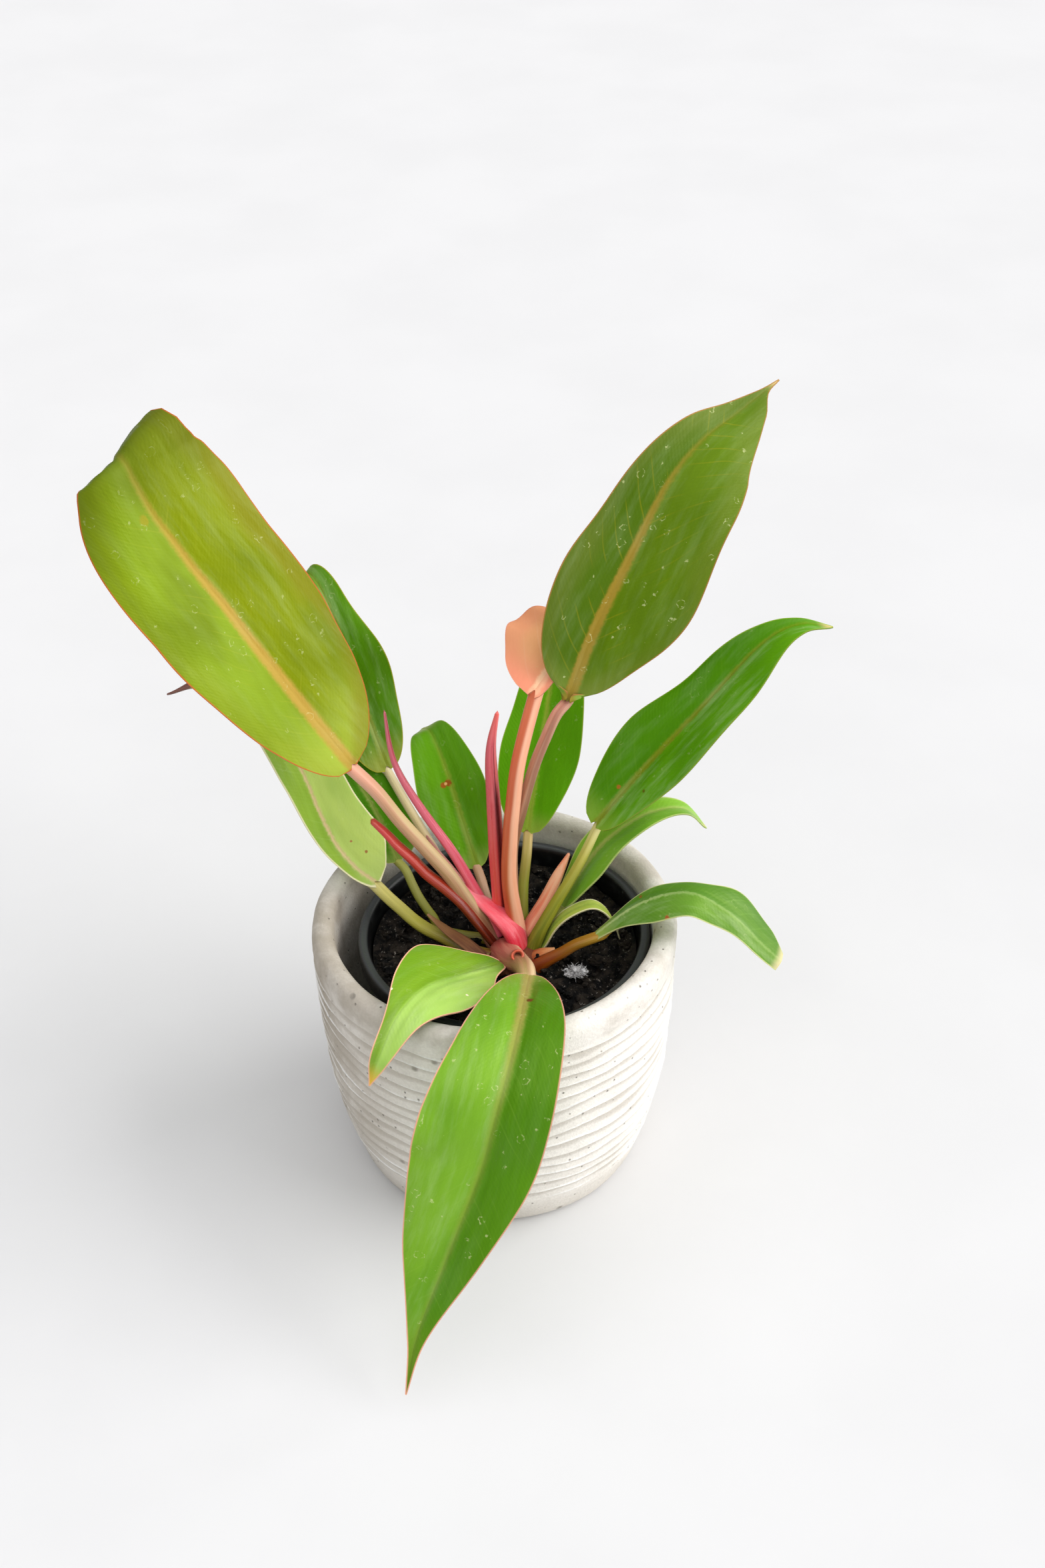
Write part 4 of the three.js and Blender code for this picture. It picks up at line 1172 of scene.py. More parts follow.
SHEATHS = (
    SheathShape(
        "crimson_sheath", 158, root=(10, -6),
        path=((0, 104, 2), (4, 113, 3), (11, 119, 3.5), (18, 123, 4), (24, 128, 3.5), (29, 134, 2.5)),
        wide=(5.6, 6.4, 5.8, 4.6, 3.0, 1.6, 0.6), thick=(3.2, 3.4, 2.8, 2.1, 1.5, 0.9, 0.4), lap=0,
        skin=StalkFinish(((0, "C80C28"), (0.3, "DC2440"), (0.55, "F04C5C"), (0.85, "F4808C"),
            (1, "EC8088")), "F898A0", 0.25, "F88C98", 0.3, rough=0.26, gloss=0.5, coat=0.2),
    ),
    SheathShape(
        "crimson_spear", 150, root=(8, -3),
        path=((6, 106, 1), (12, 116, 1), (19, 127, 1.5), (28, 144), (39, 160, -1.5), (49, 175, -2), (54, 187, -1.5),
            (57, 205)),
        wide=(2.5, 2.5, 2.3, 1.9, 1.4, 0.5), thick=(1.8, 1.8, 1.7, 1.5, 1.1, 0.4),
        # The pink side colour is a painted highlight.
        skin=StalkFinish(((0, "EC4A60"), (0.25, "E04058"), (0.5, "C42C4A"), (0.85, "94142E"),
            (1, "A03444")), "E8788C", 0.25, "EC7C90", 0.3, flank_span=(-0.1, -0.8), rough=0.2, gloss=0.7, coat=0.35,
            seam="7A1024"),
    ),
    SheathShape(
        "maroon_spear", 105, root=(7, 2),
        path=((3, 104, -3.5), (4, 118, -3.5), (6, 133, -3.5), (8, 150, -3.5), (10, 168, -3.5), (12, 185, -3.5),
            (13.5, 197, -2.5), (14.5, 210, 0.5)),
        wide=(3.4, 3.2, 3.2, 2.9, 2.3, 0.8), thick=(2.2, 2.2, 2.1, 1.9, 1.5, 0.6), seam=68,
        # The pale side colour is a painted highlight.
        skin=StalkFinish(((0, "F84C3E"), (0.3, "E1353E"), (0.6, "C83042"), (0.85, "B93547"),
            (1, "DD5A4F")), "F88D8C", 0.3, "FF9795", 0.4, flank_span=(0.1, 0.7), rough=0.26, gloss=0.5, coat=0.2,
            seam="500C15"),
    ),
    SheathShape(
        "red_spear", 166, root=(4, -4),
        path=((3, 103, 1), (11, 116), (18, 126), (25, 133), (32, 139), (37, 145), (43, 151), (48, 157), (54, 163)),
        wide=(2.4, 2.5, 2.7, 2.8, 2.6, 1.6), thick=(1.8, 1.8, 1.9, 1.9, 1.7, 1.1),
        skin=StalkFinish(((0, "451807"), (0.25, "641F0A"), (0.5, "8F2611"), (0.68, "AE291A"),
            (0.92, "C12E2F"), (1, "B94634")), "B53C26", 0.25, "C44B38", 0.25, rough=0.28, gloss=0.5, coat=0.15,
            seam="55120A"),
    ),
    SheathShape(
        "pink_sheath", 144, root=(6, 0),
        path=((3, 103), (9, 109, -1), (14, 114, -1.5), (21, 125, -2), (26, 132, -3), (31, 140, -5), (36, 149, -6.5)),
        wide=(2, 2.1, 2.2, 2.2, 1.8, 0.5), thick=(1, 1, 1, 1, 0.9, 0.4),
        slot="sheath_pink", skin=StalkFinish(((0, "E0504C"), (0.5, "E07880"), (1, "C88878")), "ECACA4", 0.4,
            rough=0.42),
    ),
    SheathShape(
        "salmon_sheath", 40, root=(10, 0),
        path=((3, 103), (6, 109), (14, 119, 1), (21, 131, 2), (26, 139, 2.5)),
        wide=(3.4, 3.5, 3.3, 2.6, 0.6), thick=(1.8, 1.9, 1.8, 1.4, 0.4),
        slot="sheath_pink", skin=StalkFinish(((0, "D85649"), (0.35, "E56F56"), (0.75, "FBA47F"), (1, "F7825B")),
            "FFDCB9", 0.5, "FFC599", 0.35, rough=0.42),
    ),
    SheathShape(
        "dry_sheath_left", 150, root=(1, -8),
        path=((3, 106, -6), (11, 110, -5.5), (21, 112, -4), (32, 115, -2)),
        wide=(3.6, 3.2, 2.2, 0.5), thick=(0.9, 0.9, 0.8, 0.4),
        slot="sheath_dry", skin=StalkFinish(((0, "48220E"), (0.5, "62381C"), (0.8, "8A5E38"), (1, "B0845C")),
            "8E6238", 0.5, rough=0.75, coat=0.0),
    ),
    SheathShape(
        "dry_sheath_right", -8, root=(12, -7),
        path=((1, 102, 1), (7, 106, 1), (13, 108.5, 0.8)),
        wide=(3.2, 2.6, 0.6), thick=(0.9, 0.9, 0.4),
        slot="sheath_dry", skin=StalkFinish(((0, "8A3A1C"), (0.6, "B46030"), (1, "D8A070")), "C88C58", 0.5,
            rough=0.75, coat=0.0),
    ),
)
MOUTH_SKIN = StalkFinish(((0, "9A5A48"), (0.6, "A8604C"), (0.85, "C4442E"), (1, "D8583C")), "C88C74", 0.3)


@dataclass
class Blade:
    """Builds one leaf's blade from its shape."""

    shape: LeafShape
    columns: int = 44
    rows: int = 96
    edge_thickness: float = 0.5
    rib_thickness: float = 2.2
    rib_half: float = 1.7
    base_half: float = 1.6
    lobe_share: float = 0.22
    lobe_power: float = 1.5
    wave_phase: Pair = (0.6, 0.15)
    edge_droop: float = 10.0
    neck_share: float = 0.95
    crowding: float = 1.35
    buckle_size: float = 11.0
    pleat_size: float = 4.5
    droop_span: Pair = (0.5, 0.9)
    stations: tuple[float, ...] = (0, 0.1, 0.3, 0.5, 0.7, 0.9, 1)

    def half_width(self, share: Array, side: Side) -> Array:
        """Half width of one side.

        Args:
            share: Shares of the length.
            side: Which half.

        Returns:
            The half width at each share.
        """
        neck = self.shape.neck
        stations = (*self.stations[:-1], self.neck_share, 1) if neck else self.stations
        narrow = (neck[side.value],) if neck else ()
        halves = (self.base_half, *self.shape.half[side.value], *narrow, self.shape.tip_half)
        return through(np.sqrt(stations), halves, np.sqrt(share))

    def surface(self, spine: Spine, share: Array, across: Array) -> tuple[Array, Array, Array]:
        """Points of the blade's middle surface.

        Args:
            spine: The midrib.
            share: Share of the length of each point.
            across: Place across, from -1 at the left edge to 1 at the right.

        Returns:
            The points, the directions up out of the surface, and the half width at each.
        """
        shape = self.shape
        at, along, side, up = spine.frames(share)
        right, reach = across > 0, np.abs(across)

        def halves(pair: Sequence[object]) -> Array:
            """The left value or the right one, as each point lies."""
            return np.where(right, pair[1], pair[0])

        width = halves([self.half_width(share, half) for half in Side])
        bend = smooth(*shape.curl, share) if shape.curl else np.zeros_like(share)
        roll = shape.roll + shape.twist * share
        fold = halves(shape.fold) * (1 - shape.tip_flatten * bend)
        droop = halves(shape.tip_droop) * smooth(*self.droop_span, share)
        turned = halves((shape.tip_turn[0] * bend - roll, roll + shape.tip_turn[1] * bend))
        lift = np.radians(fold + turned - self.edge_droop * reach - droop * reach**2)
        phase = shape.waves * share + halves(self.wave_phase)
        ripple = np.sin(FULL_TURN * phase) * np.sin(math.pi * share)
        swept = shape.lobe * (np.maximum(0, 1 - share / self.lobe_share) * reach) ** self.lobe_power
        points = at + side * (width * across * np.cos(lift))[:, None] - along * swept[:, None]
        points += up * (width * reach * np.sin(lift) + shape.wave * ripple * across**2)[:, None]
        return points, up, width

    def build(self) -> Piece:
        """Shapes the blade with its raised midrib, soft buckles and rounded edge.

        Returns:
            The blade.
        """
        shape = self.shape
        spine = Spine(shape.midrib, shape.azimuth, shape.root)
        piece, u, v = add_grid(f"{shape.name}_blade_skin", self.columns, self.rows)
        spread = 2 * u - 1
        across = np.sign(spread) * np.abs(spread) ** self.crowding
        share = np.clip(v + 0.035 * np.sin(FULL_TURN * v), 0, 1)
        points, up, width = self.surface(spine, share, across)
        reach = np.abs(across)
        off, beside, along, flat = reach * width, across * width, share * spine.length, np.zeros_like(share)
        place_on = rows_of(along * 0.5, beside, flat)
        seed = sum(map(ord, shape.name)) * 0.37
        inner = reach * (1 - 0.4 * reach) * np.sin(math.pi * np.clip(share, 0, 1)) ** 0.5
        relief = shape.buckle * inner * swell_at(place_on, self.buckle_size, seed)
        relief += shape.pleat * inner * swell_at(place_on * (0.25, 1, 1), self.pleat_size, seed + 3)
        size = 1 - 0.75 * share
        relief += 0.35 * size * np.exp(-((off / 1.5) ** 2)) - 0.3 * size * np.exp(-(((off - 3.2) / 1.3) ** 2))
        place(piece, points + up * relief[:, None])
        rib = np.exp(-((off / self.rib_half) ** 2)) * (1 - share) ** 0.6
        thickness = self.edge_thickness + (self.rib_thickness - self.edge_thickness) * rib
        mark(piece, "leaf_mm", rows_of(along, beside, (1 - reach) * width))
        mark(piece, "leaf_share", rows_of(share, reach, flat + 1))
        group = piece.vertex_groups.new(name="thickness")
        for index, weight in enumerate(thickness / self.rib_thickness):
            group.add((index,), float(weight), "REPLACE")
        solidify = piece.modifiers.new("thickness", "SOLIDIFY")
        solidify.thickness, solidify.offset = self.rib_thickness * MM, -1.0
        solidify.vertex_group, solidify.use_even_offset = "thickness", False
        pick(piece)
        bpy.ops.object.modifier_apply(modifier=solidify.name)
        stored = piece.data.attributes["leaf_share"].data
        shares = np.empty((len(stored), 3), np.float32)
        stored.foreach_get("vector", shares.ravel())
        shares[len(share) :, 2] = 0
        mark(piece, "leaf_share", shares)
        return piece


def mark_stalk(piece: Piece, share: Array, angle: Array, radius: Array, length: float, seam: float = 0.0) -> None:
    """Stores what stalk finishes read.

    Args:
        piece: The tube, before its seam is joined.
        share: Share of its length at each vertex.
        angle: Angle round the section.
        radius: Radius there.
        length: The tube's length.
        seam: Angle of the seam line, in radians.
    """
    mark(piece, "stalk_mm", rows_of(radius * np.cos(angle), radius * np.sin(angle), share * length))
    off = np.angle(np.exp(1j * (angle - seam))) / FULL_TURN
    mark(piece, "stalk_share", rows_of(share, np.cos(angle), off))


@dataclass
class Tube:
    """What stalks and rolled sheaths share: rounded ends and a slightly uneven skin."""

    shape: "LeafShape | SheathShape"
    sides: int = 28
    rows: int = 72
    first_end: float = 0.02
    last_end: float = 0.015
    stretch: float = 0.12
    unevenness: float = 0.12
    seed_step: float = 0.11

    def ends(self, share: Array) -> Array:
        """Narrowing from 1 that closes both ends roundly."""
        caps = (np.minimum(share / self.first_end, 1), np.minimum((1 - share) / self.last_end, 1))
        return math.prod(np.sqrt(np.clip(1 - (1 - cap) ** 2, 0, 1)) for cap in caps)

    def wrap(self, piece: Piece, spine: Spine, share: Array, turn: Array, wide: Array, thick: Array) -> None:
        """Wraps a grid round a spine.

        Args:
            piece: The flat grid.
            spine: The tube's middle line.
            share: Share of its length at each vertex.
            turn: Angle round the section, 0 to the right and a quarter turn on the upper face.
            wide: Half width across.
            thick: Half thickness.
        """
        at, _, across, up = spine.frames(share)
        points = at + across * (wide * np.cos(turn))[:, None] + up * (thick * np.sin(turn))[:, None]
        around = rows_of(np.cos(turn) * 3, np.sin(turn) * 3, share * spine.length * self.stretch)
        seed = sum(map(ord, self.shape.name)) * self.seed_step
        uneven = swell_at(around, 2.5, seed) * self.unevenness * self.ends(share)
        place(piece, points + (points - at) / np.maximum(wide, 0.2)[:, None] * uneven[:, None])


@dataclass
class Stalk(Tube):
    """Builds one leaf's stalk, which ends rounded under the midrib's foot."""

    taper: float = 0.6
    flare: float = 1.2
    flare_fade: float = 9.0
    flatness: float = 0.92
    channel: float = 0.2
    narrowing: float = 0.72
    channel_half: float = 0.5
    reach_in: float = 0.08
    sink: float = 0.9
    dive: float = 0.6

    def build(self) -> Piece:
        """Shapes the stalk, with a shallow channel along its upper face.

        Returns:
            The stalk.
        """
        shape = self.shape
        low, high = shape.stalk_radius
        into = Spine(shape.midrib, shape.azimuth, shape.root)
        reach, tilt = np.linspace(0, self.reach_in, 5), math.radians(shape.roll)
        at, _, side, up = into.frames(reach)
        depth = (self.sink + self.dive * reach / self.reach_in) * high
        inner = at - (up * math.cos(tilt) - side * math.sin(tilt)) * depth[:, None] - np.array((*shape.root, 0.0))
        extra = [(float(p @ into.out), float(p[2]), float(p @ into.side)) for p in inner]
        spine = Spine((*shape.stalk[:-1], *extra), shape.azimuth, shape.root)
        joint = 1 - self.reach_in * into.length / spine.length
        piece, u, v = add_grid(f"{shape.name}_stalk_skin", self.sides, self.rows)
        turn, grown = FULL_TURN * u, np.clip(v / joint, 0, 1)
        radius = low + (high - low) * grown**self.taper + self.flare * np.exp(-self.flare_fade * grown)
        radius = radius * (1 - self.narrowing * smooth(joint - 0.01, 1, v))
        groove = self.channel * np.exp(-(((turn - FULL_TURN / 4) / self.channel_half) ** 2))
        groove *= smooth(0.25, 0.8, grown)
        size = radius * self.ends(v)
        self.wrap(piece, spine, v, turn, size, size * self.flatness * (1 - groove))
        mark_stalk(piece, grown, turn, radius, spine.length)
        close_tube(piece)
        return piece


@dataclass
class RolledSheath(Tube):
    """Builds a rolled leaf or sheath whose one edge laps over the other."""

    sides: int = 40
    last_end: float = 0.012
    stretch: float = 0.15
    unevenness: float = 0.14
    seed_step: float = 0.13

    def build(self) -> Piece:
        """Shapes the roll, with a step where its edge laps.

        Returns:
            The roll.
        """
        shape, seam = self.shape, math.radians(self.shape.seam)
        spine = Spine(shape.path, shape.azimuth, shape.root)
        piece, u, v = add_grid(f"{shape.name}_skin", self.sides, self.rows)
        turn, stations = seam + FULL_TURN * u, np.linspace(0, 1, len(shape.wide))
        ends, lap = self.ends(v), 1 + shape.lap * (u - 0.5) * smooth(1.0, 0.75, v)
        wide, thick = (through(stations, sizes, v) * ends * lap for sizes in (shape.wide, shape.thick))
        self.wrap(piece, spine, v, turn, wide, thick)
        mark_stalk(piece, v, turn, wide, spine.length, seam)
        close_tube(piece)
        return piece


@dataclass
class SheathMouth:
    """The open end of an old sheath on the front stalk: a short leaning tube."""

    centre: Triple = (9.4, -16.3, 110.4)
    outer: float = 2.5
    inner: float = 1.6
    height: float = 3.2
    lean: float = 38.0

    def build(self) -> Piece:
        """Spins the tube, lets its lip wander and leans it towards the front.

        Returns:
            The tube.
        """
        outer, inner, top = self.outer, self.inner, self.height
        profile = [(inner, 0), (inner, top - 0.4), ((inner + outer) / 2, top), (outer, top - 0.4), (outer, top * 0.4)]
        piece = add_spun("old_sheath_mouth_skin", [*profile, (outer * 1.25, 0), (inner, 0)], 40)
        with editing(piece):
            bpy.ops.mesh.subdivide(number_cuts=2, smoothness=0.6)
        flat, radius, turn = polar(piece)
        share = flat[:, 2] / top
        mark_stalk(piece, np.clip(share, 0, 1), turn, radius, top)
        flat[:, :2] *= (1 + 0.14 * np.sin(2 * turn + 0.7) * share)[:, None]
        flat[:, 2] += 0.5 * np.sin(turn - 0.6) * smooth(1.0, top, flat[:, 2])
        tilt = np.array(Matrix.Rotation(math.radians(self.lean), 3, "X"))
        place(piece, flat @ tilt.T + np.array(self.centre))
        return piece


@dataclass
class Crown:
    """The short scarred stem base at soil level."""

    axis: Pair = (8, -6)
    top: float = 105
    profile: Points = (
        (0, -34), (8, -34), (10.5, -26), (11.8, -18), (12.6, -12), (13, -7), (12.7, -4.2), (11.6, -1.9),
        (9.8, -0.6), (7.4, 0.1), (4.6, 0.4), (2, 0.55), (0, 0.6),
    )

    def build(self) -> Piece:
        """Spins the stem base and roughens it with old sheath scars.

        Returns:
            The stem base.
        """
        piece = add_spun("crown_skin", [(r, self.top + z) for r, z in self.profile], 64, self.axis)
        with editing(piece):
            bpy.ops.mesh.subdivide(number_cuts=1)
        flat, _, turn = polar(piece, self.axis)
        middle = np.array((*self.axis, self.top))
        offset = flat - middle
        rough = 0.5 * swell_at(offset, 4, 2.2) + 0.25 * np.sin(5 * turn + offset[:, 2] * 0.8)
        grow = 1 + rough * 0.03 - 0.02
        place(piece, middle + offset * rows_of(grow, grow, np.ones_like(grow)))
        return piece


@dataclass
class CementPot:
    """The ribbed outer pot."""

    rib_pitch: float = 6.4
    rib_depth: float = 0.88
    ribs_from: float = 17
    ribs_to: float = 107
    wander: float = 1.1
    sides: int = 256
    rows: int = 300
    outside: Points = (
        (0, 57.5), (3, 60.5), (12, 63.5), (25, 67.5), (40, 70.5), (60, 72.8), (85, 74.2), (112, 75),
    )
    lip: Points = (
        (75.1, 113), (75.1, 115), (74.6, 117.2), (73.8, 118.7), (72.4, 119.6), (70.2, 120), (68.4, 119.7),
        (66.9, 118.8), (66, 117.4), (65.6, 115.6), (65.5, 114),
    )
    inside: Points = ((10, 50), (25, 56), (60, 62), (114, 65.5))
    inside_heights: tuple[float, ...] = (100, 80, 60, 40, 25, 16, 12, 10.4)
    inner_floor: Points = ((48, 10), (24, 10), (0, 10))
    foot: Points = ((0, 1.0), (40, 1.0), (52, 0.6), (55, 0.0))

    def build(self) -> Piece:
        """Spins the wall and floor, then lets the ribs wander and the hand-made wall swell.

        Returns:
            The pot.
        """
        heights, radii = zip(*self.outside)
        up, down = np.linspace(0, heights[-1], self.rows), np.array(self.inside_heights)
        wall = list(zip(through(heights, radii, up), up))
        wall[0] = (wall[0][0] - 0.8, 0.0)
        inner = zip(through(*zip(*self.inside), down), down)
        profile = [*self.foot, *wall, *self.lip, *inner, *self.inner_floor]
        piece = add_spun("cement_pot_skin", profile, self.sides)
        flat, radius, turn = polar(piece)
        height = flat[:, 2]
        outer = radius > through(heights, radii, np.clip(height, 0, heights[-1])) - 1.5
        band_from, band_to = self.ribs_from, self.ribs_to
        ribbed = smooth(band_from - 3, band_from + 1, height) * smooth(band_to + 3, band_to - 1, height)
        around = rows_of(np.cos(turn) * 70, np.sin(turn) * 70, height * 2)
        drift = self.wander * (np.sin(3 * turn + 0.1 * height) + 0.6 * np.sin(7 * turn - 0.1 * height))
        drift += 1.3 * swell_at(around, 26, 3.1) + 0.5 * swell_at(around, 9, 7.7)
        phase = (height + drift - band_from) / self.rib_pitch
        share = phase - np.floor(phase)
        ridge = np.where(share > 0.9, (share - 0.9) / 0.1, np.exp(-share / 0.22))
        strength = np.clip(0.8 + 0.7 * swell_at(around, 26, 11.3), 0.25, 1.2)
        uneven = 0.45 * swell_at(around, 24, 5.5) + 0.1 * swell_at(around, 4, 9.5)
        uneven *= np.where(outer, 1, 0.6) * smooth(0, 6, height)
        relief = np.where(outer, ribbed * (self.rib_depth * strength * (ridge - 0.25) - 0.4), 0)
        reach = np.where(radius > 30, radius + relief + uneven, radius)
        place(piece, rows_of(reach * np.cos(turn), reach * np.sin(turn), height))
        crest = np.where(outer, np.clip(ridge * strength, 0, 1) * ribbed + 0.35 * (1 - ribbed), 0.35)
        mark(piece, "rib_mm", rows_of(crest, ribbed, np.zeros_like(crest)))
        return piece


@dataclass
class NurseryPot:
    """The thin black pot that stands inside."""

    axis: Pair = (4, 0)
    rim_height: float = 111
    rim_radius: float = 60
    top_radius: float = 57
    base_radius: float = 43
    wall: float = 1.4
    floor: float = 10.3
    drain: float = 7

    def build(self) -> Piece:
        """Spins the wall, its stepped rim band and its floor with the drain hole.

        Returns:
            The pot.
        """
        rim, top, foot, base = self.rim_radius, self.rim_height, self.floor, self.base_radius
        outer, inner, lower = self.top_radius, self.top_radius - self.wall, self.floor + self.wall
        profile = [
            (self.drain, foot), (base - 2, foot), (base - 0.6, foot + 0.5), (base, foot + 2), (outer - 0.5, 100.5),
            (outer, 102), (rim - 0.8, 102.3), (rim - 0.2, 103), (rim, 104), (rim + 0.1, 109), (rim - 0.1, 110.2),
            (rim - 0.6, 110.8), (rim - 1.4, top), (rim - 2.8, top), (rim - 3.4, 110.7), (rim - 3.8, 110.1),
            (inner, 108.8), (inner - 0.2, 104), (inner - 0.3, 101.5), (base - self.wall, foot + 3),
            (base - 3.2, lower), (self.drain, lower), (self.drain, foot),
        ]
        piece = add_spun("nursery_pot_skin", profile, 128, self.axis)
        flat, _, turn = polar(piece, self.axis)
        reach = 1 + 0.004 * np.sin(2 * turn + 0.6) * smooth(60, 111, flat[:, 2])
        flat[:, :2] = self.axis + (flat[:, :2] - self.axis) * reach[:, None]
        place(piece, flat)
        return piece


@dataclass
class SoilBed:
    """Potting mix: a crumbly bed with clods, bark and small lumps on it."""

    axis: Pair = (4, 0)
    height: float = 102
    floor: float = 12
    top_radius: float = 54.6
    base_radius: float = 41.3
    rings: int = 34
    crumbs: int = 480
    clod_size: Pair = (1.8, 4.4)
    crumb_size: Pair = (0.5, 1.6)
    flattest: Triple = (0.8, 0.6, 0.45)
    fullest: Triple = (1.3, 1.0, 0.8)
    crumb_lean: float = 0.5
    spread: float = 52
    seed: int = 20117

    def level(self, x: Array, y: Array) -> Array:
        """Height of the bed at places seen from above."""
        return self.height + 1.2 * (np.cos(0.2 * x) * np.cos(0.2 * y) + 0.5 * np.sin(0.43 * (x - y)))

    def build(self) -> Piece:
        """Spins the bed, roughens its top and joins the crumbs to it.

        Returns:
            The bed with its crumbs.
        """
        top, base, floor = self.top_radius, self.base_radius, self.floor
        profile = [(0, floor), (base - 4, floor), (base, floor + 4), (top - 0.7, self.height - 5)]
        profile += [(top * (1 - i / self.rings), self.height - 0.4) for i in range(self.rings + 1)]
        bed = add_spun("soil_skin", profile, 150, self.axis)
        flat, radius, _ = polar(bed, self.axis)
        upper = flat[:, 2] > self.height - 2
        x, y = flat[upper, 0], flat[upper, 1]
        here = rows_of(x, y, np.zeros_like(x))
        rough = 2.4 * swell_at(here, 6, 1.7) + 2.2 * swell_at(here, 2.6, 4.1) + 1.0 * swell_at(here, 1.2, 8.3)
        flat[upper, 2] = self.level(x, y) + (rough - 0.8) * smooth(top, top - 5, radius[upper])
        place(bed, flat)
        draw = np.random.default_rng(self.seed)
        return join(bed, *(self._crumb(draw, index, index % 5 == 0) for index in range(self.crumbs)))

    def _crumb(self, draw: np.random.Generator, index: int, large: bool) -> Piece:
        """One clod or chip, turned and laid by the draw.

        Args:
            draw: Where its sizes and place are drawn from.
            index: Its number, which gives its lumps.
            large: Whether it is a clod.

        Returns:
            The crumb.
        """
        crumb = add_primitive("ico_sphere", "crumb", subdivisions=4 if large else 2, radius=1.0)
        flat = coordinates(crumb)
        size = draw.uniform(*(self.clod_size if large else self.crumb_size))
        shape = size * draw.uniform(self.flattest, self.fullest)
        lumps = 0.5 * swell_at(flat * 1.4, 1.0, index * 0.73)
        if large:
            lumps += 0.45 * swell_at(flat, 0.3, index * 0.41)
        spin = Matrix.Rotation(draw.uniform(0, FULL_TURN), 3, "Z")
        lean = Matrix.Rotation(draw.uniform(-self.crumb_lean, self.crumb_lean), 3, "X")
        flat = (flat * (1 + lumps)[:, None] * shape) @ np.array((spin @ lean).transposed())
        angle, reach = draw.uniform(0, FULL_TURN), self.spread * math.sqrt(draw.uniform(0.02, 1))
        reach = min(reach, self.spread + 0.5 - size)
        x, y = self.axis[0] + reach * math.cos(angle), self.axis[1] + reach * math.sin(angle)
        place(crumb, flat + np.array((x, y, float(self.level(x, y)) - 0.05 * shape[2])))
        return crumb


@dataclass
class FibreTuft:
    """A pale wad of fluff on the soil: a lumpy core with loose strands."""

    centre: Triple = (33, -20, 104.4)
    half: Triple = (4.2, 3.1, 1.8)
    strands: int = 260
    strand_radius: float = 0.17
    strand_length: Pair = (0.5, 1.5)
    leaves_at: Pair = (0.2, 1.2)
    curl: float = 0.6
    seed: int = 41

    def build(self) -> Piece:
        """Shapes the core and joins curled strands to it.

        Returns:
            The tuft.
        """
        core = add_primitive("ico_sphere", "fibre_tuft_skin", subdivisions=5, radius=1.0)
        flat = coordinates(core)
        lumps = 0.5 * swell_at(flat, 0.45, 3.3) + 0.3 * swell_at(flat, 0.2, 5.1)
        place(core, np.array(self.centre) + flat * (0.82 + lumps)[:, None] * np.array(self.half))
        draw = np.random.default_rng(self.seed)
        return join(core, *(self._strand(draw) for _ in range(self.strands)))

    def _strand(self, draw: np.random.Generator) -> Piece:
        """One curled strand that leaves the core.

        Args:
            draw: Where its direction and length are drawn from.

        Returns:
            The strand.
        """
        strand, u, v = add_grid("strand", 4, 7)
        axis = draw.normal(size=3)
        axis /= np.linalg.norm(axis)
        axis[2] = abs(axis[2])
        bend = draw.normal(size=3) * self.curl
        start = np.array(self.centre) + axis * np.array(self.half) * draw.uniform(*self.leaves_at)
        reach = draw.uniform(*self.strand_length)
        line = start + axis * (v * reach)[:, None] + bend * ((v**2) * reach)[:, None]
        thin, turn = self.strand_radius * np.sqrt(np.clip(1 - v, 0, 1)) + 0.004, FULL_TURN * u
        place(strand, line + rows_of(np.cos(turn), np.sin(turn), np.zeros_like(turn)) * thin[:, None])
        close_tube(strand)
        return strand


@dataclass
class Plant:
    """The leaves, stalks, rolled leaves and crown."""

    crown: EarthFinish = EarthFinish("8A5038", "6A3826", "B88A68", 0.35, 1.6, 0.5, 0.6)

    def build(self) -> None:
        """Builds and dresses every piece of the plant."""
        for leaf in LEAVES:
            hand_over(Blade(leaf).build(), leaf.skin, leaf.slot, f"{leaf.name}_blade")
            hand_over(Stalk(leaf).build(), leaf.stalk_skin, leaf.stalk_slot, f"{leaf.name}_stalk")
        strap = Blade(STRAP, columns=24, rows=72, rib_thickness=0.7).build()
        hand_over(strap, STRAP.skin, STRAP.slot, STRAP.name)
        for sheath in SHEATHS:
            hand_over(RolledSheath(sheath).build(), sheath.skin, sheath.slot, sheath.name, angle=50)
        hand_over(SheathMouth().build(), MOUTH_SKIN, "stalk_brown")
        hand_over(Crown().build(), self.crown, "crown_tissue", "crown", angle=80)


@dataclass
class Pots:
    """Both pots, the potting mix and the tuft on it."""

    # The soil's pale flecks are partly pale grit and partly painted glints on damp clods.
    soil: EarthFinish = EarthFinish("020202", "28221C", "B0A89E", 0.5, 1.5, 1.0, 0.85, 0.2)
    fluff: EarthFinish = EarthFinish("D2D1D2", "7A7878", "F6F6F8", 0.6, 0.5, 0.5, 0.95, 0.5)

    def build(self) -> None:
        """Builds and dresses the pots and what lies in them."""
        hand_over(CementPot().build(), CementFinish(), "cement", "cement_pot", angle=50)
        hand_over(NurseryPot().build(), PlasticFinish(), "black_plastic", "nursery_pot", angle=40)
        hand_over(SoilBed().build(), self.soil, "potting_soil", "soil", angle=30)
        hand_over(FibreTuft().build(), self.fluff, "pale_fibre", "fibre_tuft", angle=80)


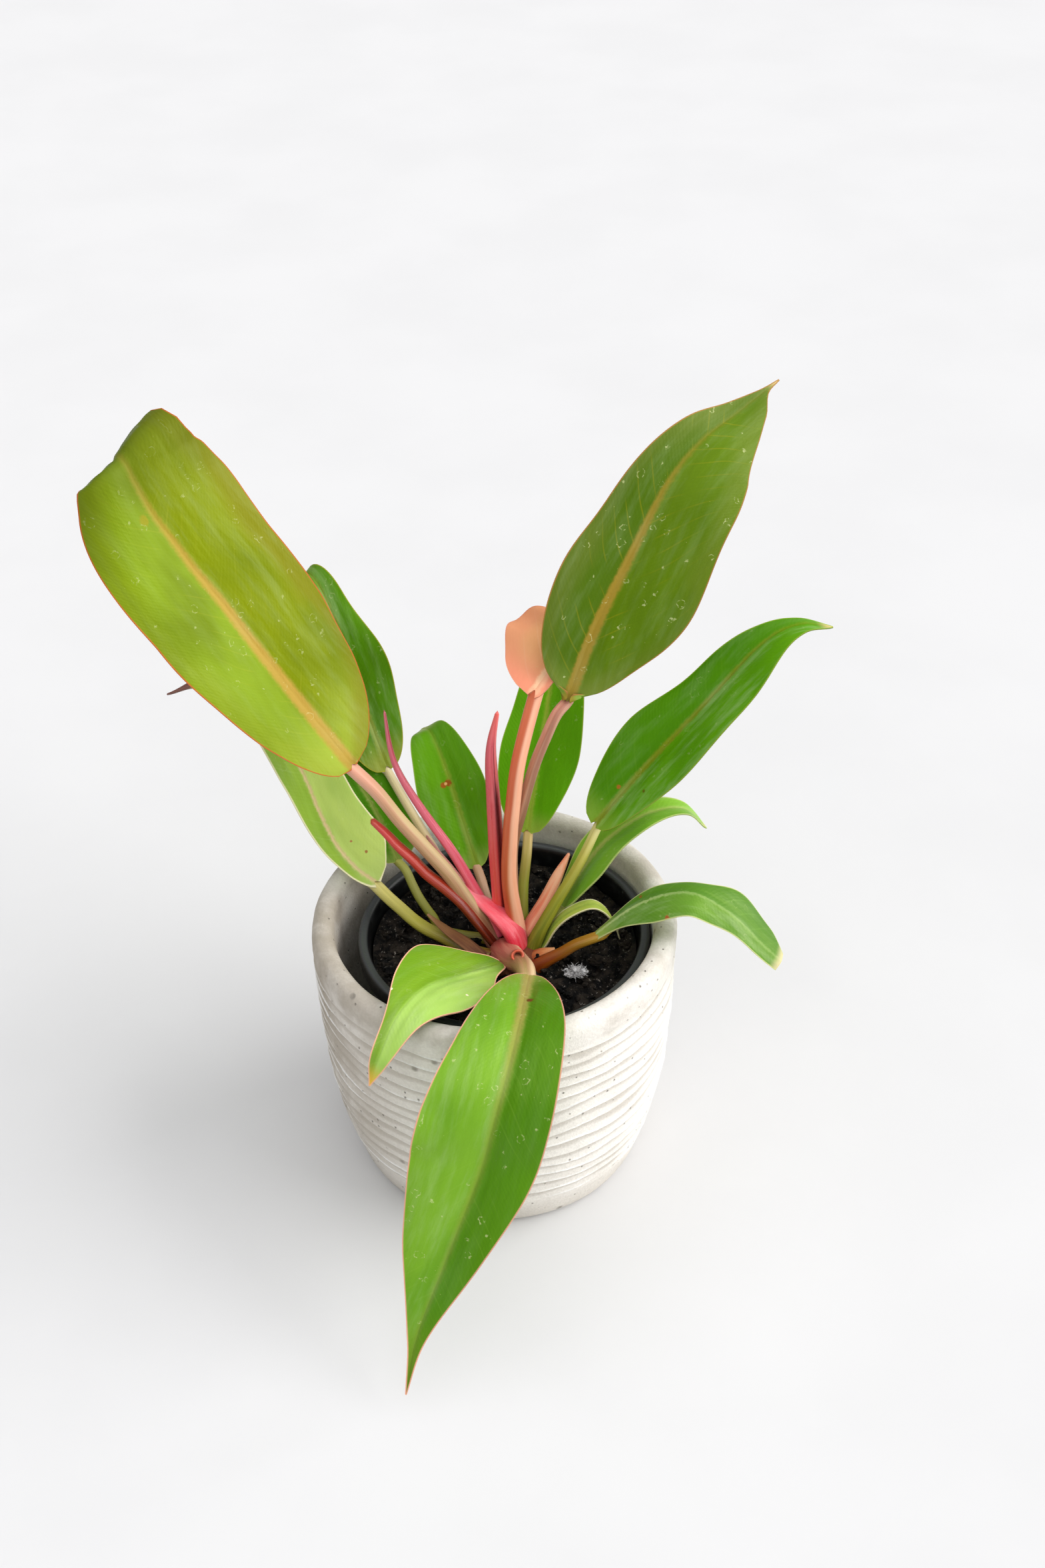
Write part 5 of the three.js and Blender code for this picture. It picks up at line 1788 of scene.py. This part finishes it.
@dataclass
class Studio:
    """Pale floor, soft light and the camera."""

    lens: float = 50.0
    long_side: float = 36.0
    pitch: float = 37.0
    lean: float = -1.2
    camera_at: Triple = (12.9, -681.5, 699.5)
    floor_size: float = 40.0
    sky: Pair = (0.36, 0.92)

    def build(self) -> None:
        """Sets the floor, the lights, the sky and the camera."""
        floor = add_primitive("plane", "floor", size=self.floor_size)
        floor.data.materials.append(FloorFinish().material("pale_floor"))
        self._light("window", (0.9, -0.04, 0.44), 60.0, 2.8, (1.0, 0.99, 0.98))
        self._light("ceiling", (0.0, -0.15, 1.0), 85.0, 1.5, (0.99, 0.99, 1.0))
        self._light("front_fill", (0.15, -0.85, 0.5), 80.0, 0.5, (1.0, 1.0, 1.0))
        self._sky()
        self._camera()

    def _sky(self) -> None:
        """A soft white sky, brighter where the camera sees it past the floor."""
        scene = bpy.context.scene
        scene.view_settings.view_transform = "Standard"
        scene.world = bpy.data.worlds.new("soft_sky")
        scene.world.use_nodes = True
        shader = Shader(scene.world.node_tree)
        seen = Value(shader.node("LightPath").outputs["Is Camera Ray"])
        strength = shader.value("MapRange", {"Value": seen, "To Min": self.sky[0], "To Max": self.sky[1]})
        shader.feed(shader.tree.nodes["Background"], {"Color": "FFFFFF", "Strength": strength})

    def _light(self, name: str, source: Triple, breadth: float, power: float, tint: Triple) -> None:
        """Adds a broad soft light that shines evenly from one direction.

        Args:
            name: The light's name.
            source: Direction that it comes from.
            breadth: How wide it looks from the plant, in degrees.
            power: Its strength.
            tint: Its colour.
        """
        data = bpy.data.lights.new(name, "SUN")
        data.angle, data.energy, data.color = math.radians(breadth), power, tint
        light = bpy.data.objects.new(name, data)
        bpy.context.scene.collection.objects.link(light)
        light.rotation_euler = (-Vector(source)).to_track_quat("-Z", "Y").to_euler()

    def _camera(self) -> None:
        """Stands the camera where the photograph was taken from."""
        data = bpy.data.cameras.new("camera")
        data.lens, data.sensor_fit = self.lens, "VERTICAL"
        data.sensor_width = data.sensor_height = self.long_side
        camera = bpy.data.objects.new("camera", data)
        bpy.context.scene.collection.objects.link(camera)
        pitch, lean = math.radians(self.pitch), math.radians(self.lean)
        forward = Vector((0, math.cos(pitch), -math.sin(pitch)))
        level, upward = Vector((1, 0, 0)), Vector((0, math.sin(pitch), math.cos(pitch)))
        right = math.cos(lean) * level + math.sin(lean) * upward
        up = math.cos(lean) * upward - math.sin(lean) * level
        turn = Matrix((right, up, -forward)).transposed()
        camera.matrix_world = Matrix.Translation(Vector(self.camera_at) * MM) @ turn.to_4x4()
        bpy.context.scene.camera = camera


def main() -> None:
    """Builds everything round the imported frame."""
    logging.basicConfig(level=logging.INFO, format="%(message)s")
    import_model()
    bpy.ops.object.select_all(action="DESELECT")
    for other in [o for o in bpy.context.scene.objects if o.type in ("CAMERA", "LIGHT") or o.name == "Cube"]:
        bpy.data.objects.remove(other)
    for assembly in (Studio(), Pots(), Plant()):
        assembly.build()


if __name__ == "__main__":
    main()
